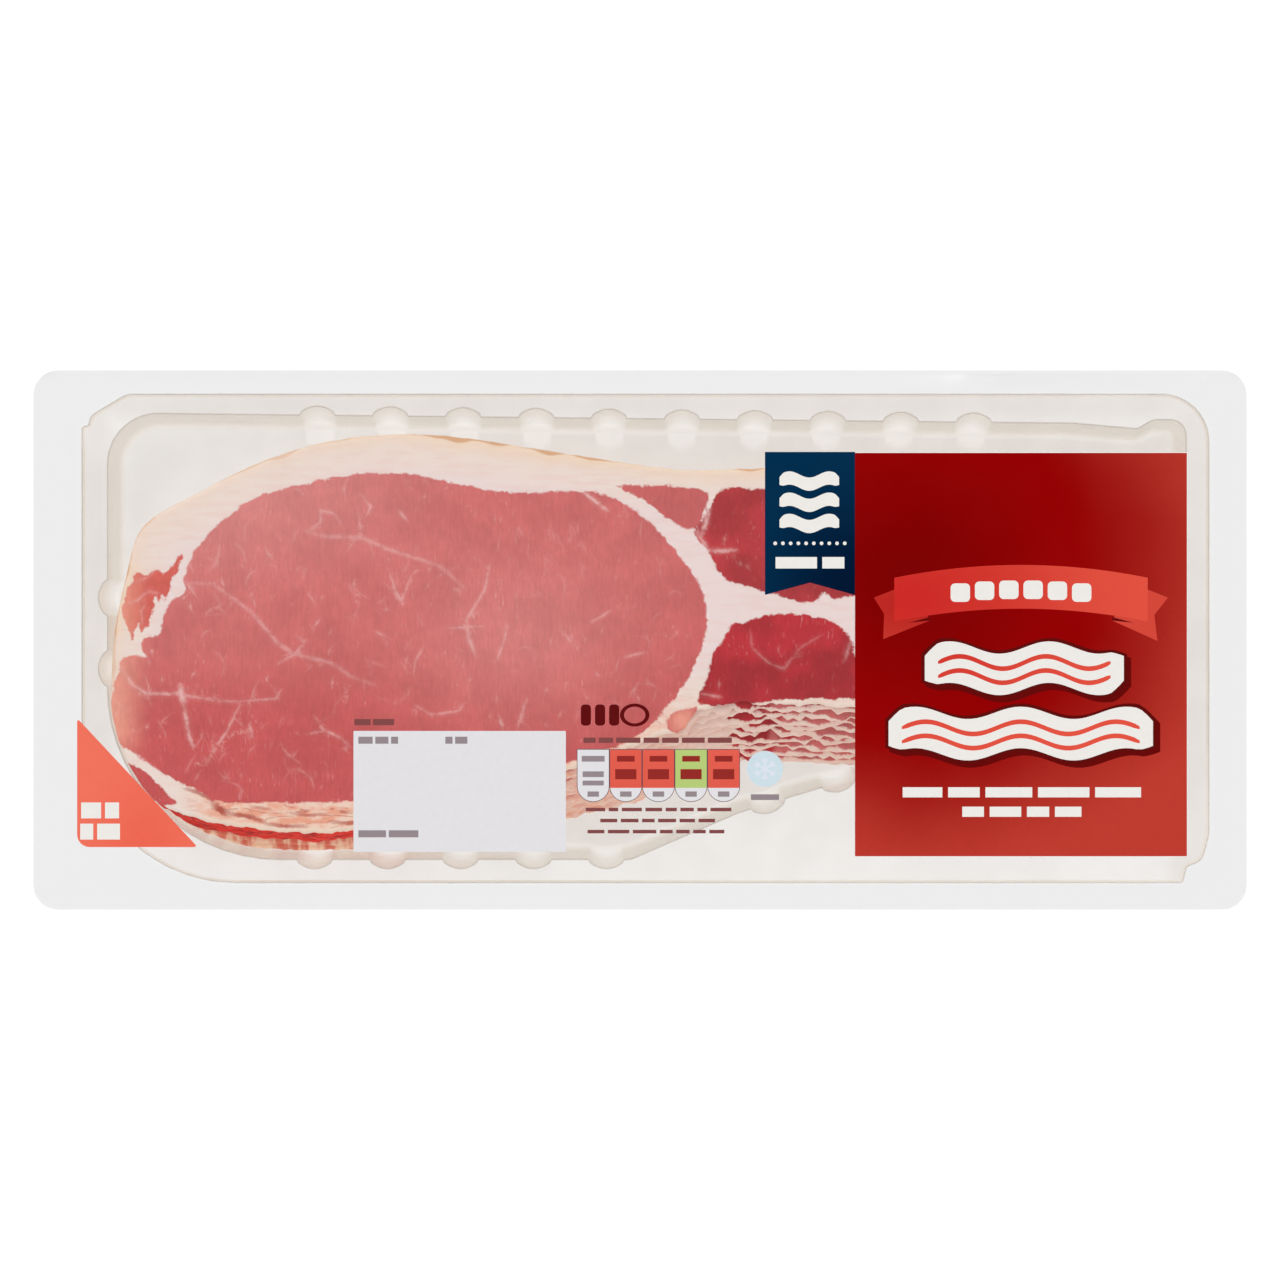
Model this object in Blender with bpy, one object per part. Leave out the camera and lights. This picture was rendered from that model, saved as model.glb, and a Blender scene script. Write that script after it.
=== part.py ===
# Bacon pack: a clear formed tray, ten rashers in a shingled stack, a clear lid film and the print on it.
# Metres, +Z up. The film side faces up, the pack's length runs along X, and the origin is under its middle.

import math
import random

import bmesh
import bpy
from mathutils import Vector
from mathutils.geometry import intersect_point_line

MM = 0.001

# Pack and its flange
PACK_LENGTH = 275.0 * MM
PACK_WIDTH = 122.3 * MM
PACK_CORNER = 5.7 * MM
FLANGE_TOP = 25.3 * MM
TRAY_WALL = 0.4 * MM

# Stepped cavity: a short wall drops from the flange to a shoulder, the deep pocket starts inside it
CAVITY_LEFT = -126.2 * MM
CAVITY_RIGHT = 128.7 * MM
CAVITY_TOP = 55.5 * MM
CAVITY_BOTTOM = -54.8 * MM
CAVITY_RADII = (34.7 * MM, 8.6 * MM, 10.6 * MM, 9.0 * MM)
SHOULDER_DROP = 3.0 * MM
SHOULDER_DRAFT = 0.6 * MM

# Deep pocket, seen from above, anticlockwise from the lower left corner
POCKET_LEFT = -120.6 * MM
POCKET_RIGHT = 123.7 * MM
POCKET_TOP = 51.3 * MM
POCKET_TOP_RIGHT = 49.8 * MM
POCKET_BOTTOM = -49.6 * MM
LEDGE_START = (-2.2 * MM, POCKET_BOTTOM)
LEDGE_BEND = (22.0 * MM, -39.1 * MM)
LEDGE_END = (52.0 * MM, -30.0 * MM)
DENT_LEFT = 98.0 * MM
DENT_RIGHT = 112.8 * MM
DENT_END = 116.6 * MM
DENT_TOP = 47.7 * MM
DENT_SLOPE = 0.8 * MM
POCKET_DRAFT = 2.0 * MM
RADIUS_LEFT_BOTTOM = 39.0 * MM
RADIUS_LEDGE_START = 4.0 * MM
RADIUS_LEDGE = 14.0 * MM
RADIUS_RIGHT_BOTTOM = 10.0 * MM
RADIUS_RIGHT_TOP = 3.5 * MM
RADIUS_DENT_END = 3.0 * MM
RADIUS_DENT_RIGHT = 2.0 * MM
RADIUS_DENT_LEFT = 20.0 * MM
RADIUS_LEFT_TOP = 11.3 * MM

# Flutes: half-round grooves pressed outwards in the pocket's walls
FLUTE_HALF_WIDTH = 4.0 * MM
FLUTE_DEPTH = 2.1 * MM
FLUTE_PITCH = 16.55 * MM
FLUTE_FIRST_TOP = -73.2 * MM
FLUTES_TOP = 10
FLUTE_FIRST_BOTTOM = -73.8 * MM
FLUTES_BOTTOM = 5
FLUTES_LEDGE = ((29.0 * MM, -37.0 * MM), (45.1 * MM, -32.1 * MM))
FLUTES_LEFT = (9.6 * MM, -6.5 * MM)
FLUTE_STEPS = 6

# Rashers
RASHERS = 10
RASHER_THICKNESS = 2.0 * MM
RASHER_GAP = 0.3 * MM
STACK_BASE = 1.2 * MM
STACK_WAVE = 0.25 * MM
WAVE_REACH_X = 14.0 * MM
WAVE_REACH_Y = 12.0 * MM
WAVE_START = 0.6
UPPER_RASHERS = 6
SHIFT_LEFT_UPPER = 0.5 * MM
SHIFT_LEFT_LOWER = 0.8 * MM
SHIFT_RIGHT = 1.48 * MM
SHIFT_FROM = -60.0 * MM
SHIFT_TO = 10.0 * MM
EDGE_RUFFLE = 0.45 * MM
RUFFLE_WAVES = (5, 9, 14)
RUFFLE_SEED = 20
WALL_CLEARANCE = 0.35 * MM
RIBS = 30
RIB_STEPS = 5
RIB_CROWDING = 0.35

# Outline of the top rasher in millimetres, both from the middle of its left end to the tip of its tail
RASHER_BACK = (
    (-120.0, -13.0), (-119.3, 0.0), (-116.8, 13.0), (-112.6, 25.7), (-99.9, 33.5), (-86.5, 40.1),
    (-73.2, 44.4), (-59.0, 46.4), (-43.7, 46.2), (-22.4, 43.1), (-1.8, 39.9), (12.0, 38.5),
    (30.0, 38.8), (60.0, 38.2), (88.0, 36.0), (105.0, 29.0), (112.0, 16.0), (113.0, 6.0),
)
RASHER_FRONT = (
    (-120.0, -13.0), (-119.6, -24.9), (-112.1, -34.7), (-98.5, -41.0), (-77.0, -42.8), (-65.5, -42.1),
    (-47.6, -39.0), (-29.4, -34.4), (-14.5, -29.0), (-2.5, -24.5), (6.8, -18.6), (13.6, -14.9),
    (27.4, -14.3), (48.7, -14.9), (75.0, -14.0), (95.0, -10.0), (108.0, -4.0), (113.0, 6.0),
)

# Lid film and the panels printed on it
FILM_GAP = 0.3 * MM
FILM_THICKNESS = 0.2 * MM
PRINT_GAP = 0.3 * MM
PRINT_THICKNESS = 0.15 * MM
LABEL_LEFT = 48.7 * MM
LABEL_RIGHT = 124.1 * MM
LABEL_TOP = 42.6 * MM
LABEL_BOTTOM = -49.2 * MM
TAB_LEFT = 28.3 * MM
TAB_TAIL = 10.2 * MM
TAB_NOTCH = 13.0 * MM
TAB_MARGIN = 0.3 * MM
DATE_LEFT = -64.9 * MM
DATE_RIGHT = -16.8 * MM
DATE_TOP = -20.6 * MM
DATE_BOTTOM = -48.0 * MM
PEEL_LEFT = -127.5 * MM
PEEL_RIGHT = -100.2 * MM
PEEL_TOP = -17.7 * MM
PEEL_BOTTOM = -46.9 * MM
PEEL_RADIUS = 2.8 * MM
PANEL_RADIUS = 0.4 * MM


def clear_scene():
    for item in list(bpy.data.objects):
        bpy.data.objects.remove(item, do_unlink=True)


def make_material(name, colour, roughness, alpha=1.0):
    material = bpy.data.materials.new(name)
    material.use_nodes = True
    shader = material.node_tree.nodes["Principled BSDF"]
    shader.inputs["Base Color"].default_value = (*colour, 1.0)
    shader.inputs["Roughness"].default_value = roughness
    shader.inputs["Metallic"].default_value = 0.0
    shader.inputs["Alpha"].default_value = alpha
    material.diffuse_color = (*colour, alpha)
    return material


def add_object(name, mesh_data, material):
    mesh = bpy.data.meshes.new(name)
    mesh_data.to_mesh(mesh)
    mesh_data.free()
    mesh.materials.append(material)
    item = bpy.data.objects.new(name, mesh)
    bpy.context.scene.collection.objects.link(item)
    return item


# Outlines

def smooth_step(value, start, end):
    t = min(1.0, max(0.0, (value - start) / (end - start)))
    return t * t * (3.0 - 2.0 * t)


def inset_corners(corners, inset):
    # Moves every side of the polygon inwards and gives the new corner points
    count = len(corners)
    points = [Vector(corner[:2]) for corner in corners]
    moved = []
    for i, point in enumerate(points):
        before = (point - points[i - 1]).normalized()
        after = (points[(i + 1) % count] - point).normalized()
        normal = Vector((-before.y, before.x)) + Vector((-after.y, after.x))
        moved.append(point + normal * inset / (1.0 + before.dot(after)))
    return moved


def polygon_outline(corners, inset=0.0, steps=6, fluted=True):
    # Corners are (x, y, radius, flute centres on the side that follows), anticlockwise.
    # A hollow corner's radius grows with the inset, a full one's shrinks.
    count = len(corners)
    points = inset_corners(corners, inset)
    outline = []
    for i, corner in enumerate(corners):
        point = points[i]
        before = (point - points[i - 1]).normalized()
        after = (points[(i + 1) % count] - point).normalized()
        turn = before.x * after.y - before.y * after.x
        radius = corner[2] - inset if turn > 0.0 else corner[2] + inset
        half_angle = 0.5 * math.acos(max(-1.0, min(1.0, before.dot(after))))
        reach = radius * math.tan(half_angle)
        side = 1.0 if turn > 0.0 else -1.0
        centre = point - before * reach + Vector((-before.y, before.x)) * radius * side
        start = point - before * reach - centre
        for k in range(steps + 1):
            angle = side * 2.0 * half_angle * k / steps
            cos, sin = math.cos(angle), math.sin(angle)
            outline.append(centre + Vector((start.x * cos - start.y * sin, start.x * sin + start.y * cos)))
        if fluted:
            outline.extend(flute_points(point, after, corner[3]))
    return outline


def flute_points(origin, along, centres):
    # A flute is a half sine wave pushed out to the right of the side's direction
    outwards = Vector((along.y, -along.x))
    points = []
    for centre in centres:
        middle = (Vector(centre) - origin).dot(along)
        for k in range(FLUTE_STEPS + 1):
            offset = FLUTE_HALF_WIDTH * (2.0 * k / FLUTE_STEPS - 1.0)
            depth = FLUTE_DEPTH * math.cos(0.5 * math.pi * offset / FLUTE_HALF_WIDTH)
            points.append(origin + along * (middle + offset) + outwards * depth)
    return points


def rectangle_corners(left, right, bottom, top, radii):
    return (
        (left, bottom, radii[0], ()),
        (right, bottom, radii[1], ()),
        (right, top, radii[2], ()),
        (left, top, radii[3], ()),
    )


def flange_corners():
    half_length, half_width = 0.5 * PACK_LENGTH, 0.5 * PACK_WIDTH
    return rectangle_corners(-half_length, half_length, -half_width, half_width, (PACK_CORNER,) * 4)


def pocket_corners():
    top = [(FLUTE_FIRST_TOP + FLUTE_PITCH * k, POCKET_TOP) for k in reversed(range(FLUTES_TOP))]
    bottom = [(FLUTE_FIRST_BOTTOM + FLUTE_PITCH * k, POCKET_BOTTOM) for k in range(FLUTES_BOTTOM)]
    left = [(POCKET_LEFT, y) for y in FLUTES_LEFT]
    return (
        (POCKET_LEFT, POCKET_BOTTOM, RADIUS_LEFT_BOTTOM, bottom),
        (*LEDGE_START, RADIUS_LEDGE_START, ()),
        (*LEDGE_BEND, RADIUS_LEDGE, FLUTES_LEDGE),
        (*LEDGE_END, RADIUS_LEDGE, ()),
        (POCKET_RIGHT, LEDGE_END[1], RADIUS_RIGHT_BOTTOM, ()),
        (POCKET_RIGHT, POCKET_TOP_RIGHT, RADIUS_RIGHT_TOP, ()),
        (DENT_END, POCKET_TOP_RIGHT, RADIUS_DENT_END, ()),
        (DENT_RIGHT, DENT_TOP, RADIUS_DENT_RIGHT, ()),
        (DENT_LEFT, POCKET_TOP_RIGHT - DENT_SLOPE, RADIUS_DENT_LEFT, top),
        (POCKET_LEFT, POCKET_TOP, RADIUS_LEFT_TOP, left),
    )


def smooth_chain(points, count):
    # Points along a Catmull-Rom curve through the given ones, closer together towards both ends
    padded = [Vector(points[0]) * 2.0 - Vector(points[1]), *map(Vector, points)]
    padded.append(Vector(points[-1]) * 2.0 - Vector(points[-2]))
    chain = []
    for i in range(count + 1):
        crowded = 0.5 - 0.5 * math.cos(math.pi * i / count)
        share = RIB_CROWDING * crowded + (1.0 - RIB_CROWDING) * i / count
        place = share * (len(points) - 1)
        k = min(int(place), len(points) - 2)
        t = place - k
        a, b, c, d = padded[k:k + 4]
        chain.append(0.5 * (2.0 * b + (c - a) * t + (2.0 * a - 5.0 * b + 4.0 * c - d) * t ** 2
                            + (3.0 * b - a - 3.0 * c + d) * t ** 3))
    return chain


# Tray

def add_loop(mesh, outline, height):
    verts = [mesh.verts.new((point.x, point.y, height)) for point in outline]
    edges = [mesh.edges.new((verts[i - 1], verts[i])) for i in range(len(verts))]
    return verts, edges


def fill_flat(mesh, edges, upwards):
    # Fills the flat region between the loops and turns its faces up or down
    normal = Vector((0.0, 0.0, 1.0 if upwards else -1.0))
    result = bmesh.ops.triangle_fill(mesh, use_beauty=True, edges=edges, normal=normal)
    for face in [item for item in result["geom"] if isinstance(item, bmesh.types.BMFace)]:
        face.normal_update()
        if face.normal.z * normal.z < 0.0:
            face.normal_flip()


def add_wall(mesh, upper, lower, flipped=False):
    # Quads between two anticlockwise loops with equal counts, facing outwards unless flipped
    count = len(upper)
    for i in range(count):
        k = (i + 1) % count
        quad = (upper[i], lower[i], lower[k], upper[k])
        mesh.faces.new(tuple(reversed(quad)) if flipped else quad)


def tray_side(mesh, outset, drop, inner):
    # One side of the shell; the inner one faces up and into the cavity, the outer one down and away
    cavity = rectangle_corners(CAVITY_LEFT, CAVITY_RIGHT, CAVITY_BOTTOM, CAVITY_TOP, CAVITY_RADII)
    shoulder = FLANGE_TOP - SHOULDER_DROP
    flange_verts, flange_edges = add_loop(mesh, polygon_outline(flange_corners()), FLANGE_TOP - drop)
    rim_verts, rim_edges = add_loop(mesh, polygon_outline(cavity, -outset, 8), FLANGE_TOP - drop)
    step_outline = polygon_outline(cavity, SHOULDER_DRAFT - outset, 8)
    step_verts, step_edges = add_loop(mesh, step_outline, shoulder - drop)
    mouth_verts, mouth_edges = add_loop(mesh, polygon_outline(pocket_corners(), -outset), shoulder - drop)
    foot_outline = polygon_outline(pocket_corners(), POCKET_DRAFT - outset)
    foot_verts, foot_edges = add_loop(mesh, foot_outline, TRAY_WALL - drop)
    fill_flat(mesh, flange_edges + rim_edges, inner)
    add_wall(mesh, rim_verts, step_verts, inner)
    fill_flat(mesh, step_edges + mouth_edges, inner)
    add_wall(mesh, mouth_verts, foot_verts, inner)
    fill_flat(mesh, foot_edges, inner)
    return flange_verts


def build_tray():
    mesh = bmesh.new()
    upper = tray_side(mesh, 0.0, 0.0, True)
    lower = tray_side(mesh, TRAY_WALL, TRAY_WALL, False)
    add_wall(mesh, upper, lower)
    add_object("tray", mesh, make_material("tray clear plastic", (0.86, 0.86, 0.84), 0.15, 0.35))


# Rashers

def is_inside(point, outline):
    inside = False
    for i, b in enumerate(outline):
        a = outline[i - 1]
        if (a.y > point.y) != (b.y > point.y):
            if point.x < a.x + (b.x - a.x) * (point.y - a.y) / (b.y - a.y):
                inside = not inside
    return inside


def nearest_on(point, outline):
    best = None
    for i, b in enumerate(outline):
        a = outline[i - 1]
        near, share = intersect_point_line(point, a, b)
        near = Vector(near[:2]) if 0.0 <= share <= 1.0 else (a if share < 0.0 else b)
        if best is None or (near - point).length < (best - point).length:
            best = near
    return best.copy()


def keep_inside(point, outline):
    return point if is_inside(point, outline) else nearest_on(point, outline)


def stack_wave(point):
    # Gentle waviness that all rashers share
    return STACK_WAVE * math.sin(point.x / WAVE_REACH_X + WAVE_START) * math.cos(point.y / WAVE_REACH_Y)


def ruffle(order, share, side):
    # Uneven edge of a lower rasher, none on the top one
    if order == 0:
        return 0.0
    rng = random.Random(RUFFLE_SEED + 2 * order + (1 if side > 0.0 else 0))
    total = 0.0
    for waves in RUFFLE_WAVES:
        total += math.sin(2.0 * math.pi * (waves * share + rng.random())) / waves ** 0.5
    return EDGE_RUFFLE * total * math.sin(math.pi * share)


def front_shift(order, x):
    # How far a rasher lies in front of the top one; at the left the lower rashers stick out further
    lower = max(0, order - UPPER_RASHERS)
    left = SHIFT_LEFT_UPPER * (order - lower) + SHIFT_LEFT_LOWER * lower
    return left + (SHIFT_RIGHT * order - left) * smooth_step(x, SHIFT_FROM, SHIFT_TO)


def rasher_ribs(order):
    # Ribs across the rasher, each a row of points from its back edge to its front edge
    bottom = STACK_BASE + (RASHERS - 1 - order) * (RASHER_THICKNESS + RASHER_GAP)
    depth = max(0.0, FLANGE_TOP - SHOULDER_DROP - bottom) / (FLANGE_TOP - SHOULDER_DROP - TRAY_WALL)
    wall = polygon_outline(pocket_corners(), POCKET_DRAFT * depth + WALL_CLEARANCE, fluted=False)
    back = smooth_chain([(x * MM, y * MM) for x, y in RASHER_BACK], RIBS)
    front = smooth_chain([(x * MM, y * MM) for x, y in RASHER_FRONT], RIBS)
    ribs = []
    for i, (a, b) in enumerate(zip(back, front)):
        ends = []
        for point, side in ((a, 1.0), (b, -1.0)):
            move = side * ruffle(order, i / RIBS, side) - front_shift(order, point.x)
            ends.append(keep_inside(point + Vector((0.0, move)), wall))
        steps = 0 if i in (0, RIBS) else RIB_STEPS
        ribs.append([ends[0].lerp(ends[1], k / steps) if steps else ends[0] for k in range(steps + 1)])
    return ribs, bottom


def skin_faces(rows, mesh, flipped):
    for first, second in zip(rows, rows[1:]):
        last = max(len(first), len(second)) - 1
        for k in range(last):
            corners = [first[min(k, len(first) - 1)], first[min(k + 1, len(first) - 1)]]
            corners += [second[min(k + 1, len(second) - 1)], second[min(k, len(second) - 1)]]
            corners = list(dict.fromkeys(corners))
            mesh.faces.new(list(reversed(corners)) if flipped else corners)


def build_rasher(order, material):
    ribs, bottom = rasher_ribs(order)
    mesh = bmesh.new()
    skins = []
    for level in (bottom + RASHER_THICKNESS, bottom):
        rows = [[mesh.verts.new((p.x, p.y, level + stack_wave(p))) for p in rib] for rib in ribs]
        skins.append(rows)
    skin_faces(skins[0], mesh, False)
    skin_faces(skins[1], mesh, True)
    edges = []
    for rows in skins:
        back = [row[0] for row in rows]
        front = [row[-1] for row in rows[1:-1]]
        edges.append(list(reversed(back)) + front)
    add_wall(mesh, edges[0], edges[1])
    bmesh.ops.triangulate(mesh, faces=mesh.faces, quad_method="SHORT_EDGE")
    add_object("rasher_%02d" % (order + 1), mesh, material)


def build_rashers():
    material = make_material("bacon", (0.60, 0.17, 0.15), 0.45)
    for order in range(RASHERS):
        build_rasher(order, material)


# Film and print

def build_plate(name, outline, bottom, thickness, material):
    mesh = bmesh.new()
    upper, upper_edges = add_loop(mesh, outline, bottom + thickness)
    lower, lower_edges = add_loop(mesh, outline, bottom)
    fill_flat(mesh, upper_edges, True)
    fill_flat(mesh, lower_edges, False)
    add_wall(mesh, upper, lower)
    add_object(name, mesh, material)


def build_film():
    material = make_material("film clear plastic", (0.93, 0.93, 0.93), 0.08, 0.15)
    outline = polygon_outline(flange_corners())
    build_plate("lid_film", outline, FLANGE_TOP + FILM_GAP, FILM_THICKNESS, material)


def tab_outline():
    # Swallowtail: straight sides and a shallow notch in its lower edge
    right = LABEL_LEFT - TAB_MARGIN
    middle = 0.5 * (TAB_LEFT + right)
    tail = [(TAB_LEFT, TAB_TAIL), (middle, TAB_NOTCH), (right, TAB_TAIL)]
    return [Vector(corner) for corner in [(TAB_LEFT, LABEL_TOP), *tail, (right, LABEL_TOP)]]


def build_print():
    level = FLANGE_TOP + FILM_GAP + FILM_THICKNESS + PRINT_GAP
    label = rectangle_corners(LABEL_LEFT, LABEL_RIGHT, LABEL_BOTTOM, LABEL_TOP, (PANEL_RADIUS,) * 4)
    date = rectangle_corners(DATE_LEFT, DATE_RIGHT, DATE_BOTTOM, DATE_TOP, (PANEL_RADIUS,) * 4)
    peel = (
        (PEEL_LEFT, PEEL_BOTTOM, PEEL_RADIUS, ()),
        (PEEL_RIGHT, PEEL_BOTTOM, PANEL_RADIUS, ()),
        (PEEL_LEFT, PEEL_TOP, PANEL_RADIUS, ()),
    )
    panels = {
        "label_panel": (polygon_outline(label, steps=3), "red print", (0.30, 0.005, 0.005)),
        "count_tab": (tab_outline(), "navy print", (0.002, 0.027, 0.075)),
        "date_panel": (polygon_outline(date, steps=3), "white print", (0.77, 0.76, 0.78)),
        "peel_corner": (polygon_outline(peel, steps=5), "coral print", (0.86, 0.13, 0.07)),
    }
    for name, (outline, ink, colour) in panels.items():
        build_plate(name, outline, level, PRINT_THICKNESS, make_material(ink, colour, 0.3))


clear_scene()
build_tray()
build_rashers()
build_film()
build_print()
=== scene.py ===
import math
import random

import bmesh
import bpy
import numpy as np
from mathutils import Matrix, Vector, noise


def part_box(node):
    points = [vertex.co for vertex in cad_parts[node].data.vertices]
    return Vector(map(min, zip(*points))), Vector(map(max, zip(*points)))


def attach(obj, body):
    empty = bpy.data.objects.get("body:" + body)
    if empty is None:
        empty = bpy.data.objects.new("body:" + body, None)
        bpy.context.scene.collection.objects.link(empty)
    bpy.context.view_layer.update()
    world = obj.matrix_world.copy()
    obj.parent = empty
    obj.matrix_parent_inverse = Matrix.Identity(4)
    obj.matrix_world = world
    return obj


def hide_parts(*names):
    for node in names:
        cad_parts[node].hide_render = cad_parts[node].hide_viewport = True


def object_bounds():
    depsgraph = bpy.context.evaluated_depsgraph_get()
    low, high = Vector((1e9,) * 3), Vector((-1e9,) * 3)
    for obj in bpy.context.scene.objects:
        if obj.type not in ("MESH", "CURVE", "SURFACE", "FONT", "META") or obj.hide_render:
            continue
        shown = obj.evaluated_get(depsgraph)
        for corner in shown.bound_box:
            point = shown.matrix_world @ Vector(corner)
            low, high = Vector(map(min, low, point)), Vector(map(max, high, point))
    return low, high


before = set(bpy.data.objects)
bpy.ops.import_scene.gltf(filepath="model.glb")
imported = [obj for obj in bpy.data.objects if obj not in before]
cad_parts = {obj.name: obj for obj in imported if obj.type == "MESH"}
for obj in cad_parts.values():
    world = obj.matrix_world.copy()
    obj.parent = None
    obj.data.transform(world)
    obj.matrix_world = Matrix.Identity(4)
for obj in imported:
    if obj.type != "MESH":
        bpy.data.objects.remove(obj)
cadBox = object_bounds()
mm = 0.001
print("frame loaded:", len(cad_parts), "nodes")


# Node and mesh helpers

def paint(red, green, blue):
    linear = []
    for value in (red / 255, green / 255, blue / 255):
        linear.append(value / 12.92 if value < 0.04045 else ((value + 0.055) / 1.055) ** 2.4)
    return (*linear, 1.0)


def feed(tree, socket, value):
    if isinstance(value, bpy.types.NodeSocket):
        tree.links.new(value, socket)
    else:
        socket.default_value = value


def newMaterial(name):
    material = bpy.data.materials.new(name)
    material.use_nodes = True
    material.node_tree.nodes.clear()
    return material, material.node_tree


def calc(tree, operation, *values):
    node = tree.nodes.new("ShaderNodeMath")
    node.operation = operation
    for socket, value in zip(node.inputs, values):
        feed(tree, socket, value)
    return node.outputs[0]


def times(tree, first, *others):
    for other in others:
        first = calc(tree, "MULTIPLY", first, other)
    return first


def plus(tree, first, second):
    return calc(tree, "ADD", first, second)


def minus(tree, first, second):
    return calc(tree, "SUBTRACT", first, second)


def absolute(tree, value):
    return calc(tree, "ABSOLUTE", value)


def blendColour(tree, share, first, second, mode="MIX"):
    node = tree.nodes.new("ShaderNodeMix")
    node.data_type = "RGBA"
    node.blend_type = mode
    for index, value in ((0, share), (6, first), (7, second)):
        feed(tree, node.inputs[index], value)
    return node.outputs[2]


def ease(tree, value, low, high, outLow=0.0, outHigh=1.0):
    node = tree.nodes.new("ShaderNodeMapRange")
    node.interpolation_type = "SMOOTHSTEP"
    for socket, number in zip(node.inputs, (value, low, high, outLow, outHigh)):
        feed(tree, socket, number)
    return node.outputs[0]


def place(tree, stretch=(1.0, 1.0, 1.0)):
    # Object coordinates in millimetres, stretched along the axes
    where = tree.nodes.new("ShaderNodeTexCoord")
    scale = tree.nodes.new("ShaderNodeVectorMath")
    scale.operation = "MULTIPLY"
    tree.links.new(where.outputs["Object"], scale.inputs[0])
    scale.inputs[1].default_value = [value / mm for value in stretch]
    return scale.outputs[0]


def grain(tree, where, size, detail=2.0, rough=0.5):
    # Noise whose blobs are about size millimetres wide, 0 to 1
    node = tree.nodes.new("ShaderNodeTexNoise")
    feed(tree, node.inputs["Vector"], where)
    node.inputs["Scale"].default_value = 1.0 / size
    node.inputs["Detail"].default_value = detail
    node.inputs["Roughness"].default_value = rough
    return node.outputs["Fac"]


def jitter(tree, value, amount):
    # A 0 to 1 noise swung about zero, amount from end to end
    return times(tree, minus(tree, value, 0.5), amount)


def axes(tree, vector):
    node = tree.nodes.new("ShaderNodeSeparateXYZ")
    tree.links.new(vector, node.inputs[0])
    return node.outputs


def reading(tree, name):
    node = tree.nodes.new("ShaderNodeAttribute")
    node.attribute_name = name
    return node.outputs["Fac"]


def readings(tree, *names):
    return [reading(tree, name) for name in names]


def relief(tree, height, depth):
    node = tree.nodes.new("ShaderNodeBump")
    node.inputs["Distance"].default_value = depth * mm
    feed(tree, node.inputs["Height"], height)
    return node.outputs[0]


def solidShader(tree, colour, rough, bump=None, **fixed):
    shader = tree.nodes.new("ShaderNodeBsdfPrincipled")
    feed(tree, shader.inputs["Base Color"], colour)
    feed(tree, shader.inputs["Roughness"], rough)
    if bump is not None:
        feed(tree, shader.inputs["Normal"], bump)
    for name, value in fixed.items():
        shader.inputs[name.replace("_", " ")].default_value = value
    return shader.outputs[0]


def mixShader(tree, share, first, second):
    node = tree.nodes.new("ShaderNodeMixShader")
    for socket, value in zip(node.inputs, (share, first, second)):
        feed(tree, socket, value)
    return node.outputs[0]


def finishMaterial(tree, shader):
    out = tree.nodes.new("ShaderNodeOutputMaterial")
    tree.links.new(shader, out.inputs["Surface"])


def addObject(name, data):
    item = bpy.data.objects.new(name, data)
    bpy.context.scene.collection.objects.link(item)
    return item


def addPiece(name, mesh, material, slot, *nodes):
    # A finished piece on the pack's one body
    mesh.materials.clear()
    mesh.materials.append(material)
    piece = addObject(name, mesh)
    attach(piece, "root")
    if nodes:
        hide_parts(*nodes)
    return piece


def bakeObject(item):
    # The evaluated object as a plain mesh; the object itself goes
    bpy.context.view_layer.update()
    mesh = bpy.data.meshes.new_from_object(item.evaluated_get(bpy.context.evaluated_depsgraph_get()))
    bpy.data.objects.remove(item, do_unlink=True)
    return mesh


def meshFrom(bm, name):
    mesh = bpy.data.meshes.new(name)
    bm.to_mesh(mesh)
    bm.free()
    return mesh


def smoothFaces(mesh, sharpFrom=35):
    mesh.shade_smooth()
    mesh.set_sharp_from_angle(angle=math.radians(sharpFrom))
    return mesh


# Outlines, all anticlockwise from above

def insetCorners(corners, inset):
    points = [Vector(corner[:2]) for corner in corners]
    moved = []
    for i, point in enumerate(points):
        before = (point - points[i - 1]).normalized()
        after = (points[(i + 1) % len(points)] - point).normalized()
        normal = Vector((-before.y, before.x)) + Vector((-after.y, after.x))
        moved.append(point + normal * inset / (1.0 + before.dot(after)))
    return moved


def flutePoints(origin, along, centres, flute, reach):
    # Rounded waves pushed out to the right of the side's direction
    outwards = Vector((along.y, -along.x))
    points = []
    for centre in centres:
        middle = (Vector(centre) - origin).dot(along)
        for k in range(flute["steps"] + 1):
            share = 2.0 * k / flute["steps"] - 1.0
            bulge = math.cos(0.5 * math.pi * share) ** flute["fullness"]
            spot = origin + along * (middle + flute["halfWidth"] * share) + outwards * flute["depth"] * reach * bulge
            points.append(Vector((*spot, bulge)))
    return points


def roundedOutline(corners, inset=0.0, steps=10, flute=None, reach=1.0):
    # Corners are (x, y, radius) with flute centres for the side that follows; a point's third value is its
    # share of a flute
    points = insetCorners(corners, inset)
    outline = []
    for i, corner in enumerate(corners):
        point = points[i]
        before = (point - points[i - 1]).normalized()
        after = (points[(i + 1) % len(points)] - point).normalized()
        side = 1.0 if before.x * after.y - before.y * after.x > 0.0 else -1.0
        radius = max(0.2, corner[2] - side * inset)
        halfAngle = 0.5 * math.acos(max(-1.0, min(1.0, before.dot(after))))
        start = point - before * radius * math.tan(halfAngle)
        centre = start + Vector((-before.y, before.x)) * radius * side
        arm = start - centre
        for k in range(steps + 1):
            angle = side * 2.0 * halfAngle * k / steps
            turned = (arm.x * math.cos(angle) - arm.y * math.sin(angle),
                      arm.x * math.sin(angle) + arm.y * math.cos(angle))
            outline.append((centre + Vector(turned)).to_3d())
        if flute:
            outline.extend(flutePoints(point, after, corner[3], flute, reach))
    return outline


def boxCorners(left, right, bottom, top, radius):
    return ((left, bottom, radius), (right, bottom, radius), (right, top, radius), (left, top, radius))


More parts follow.
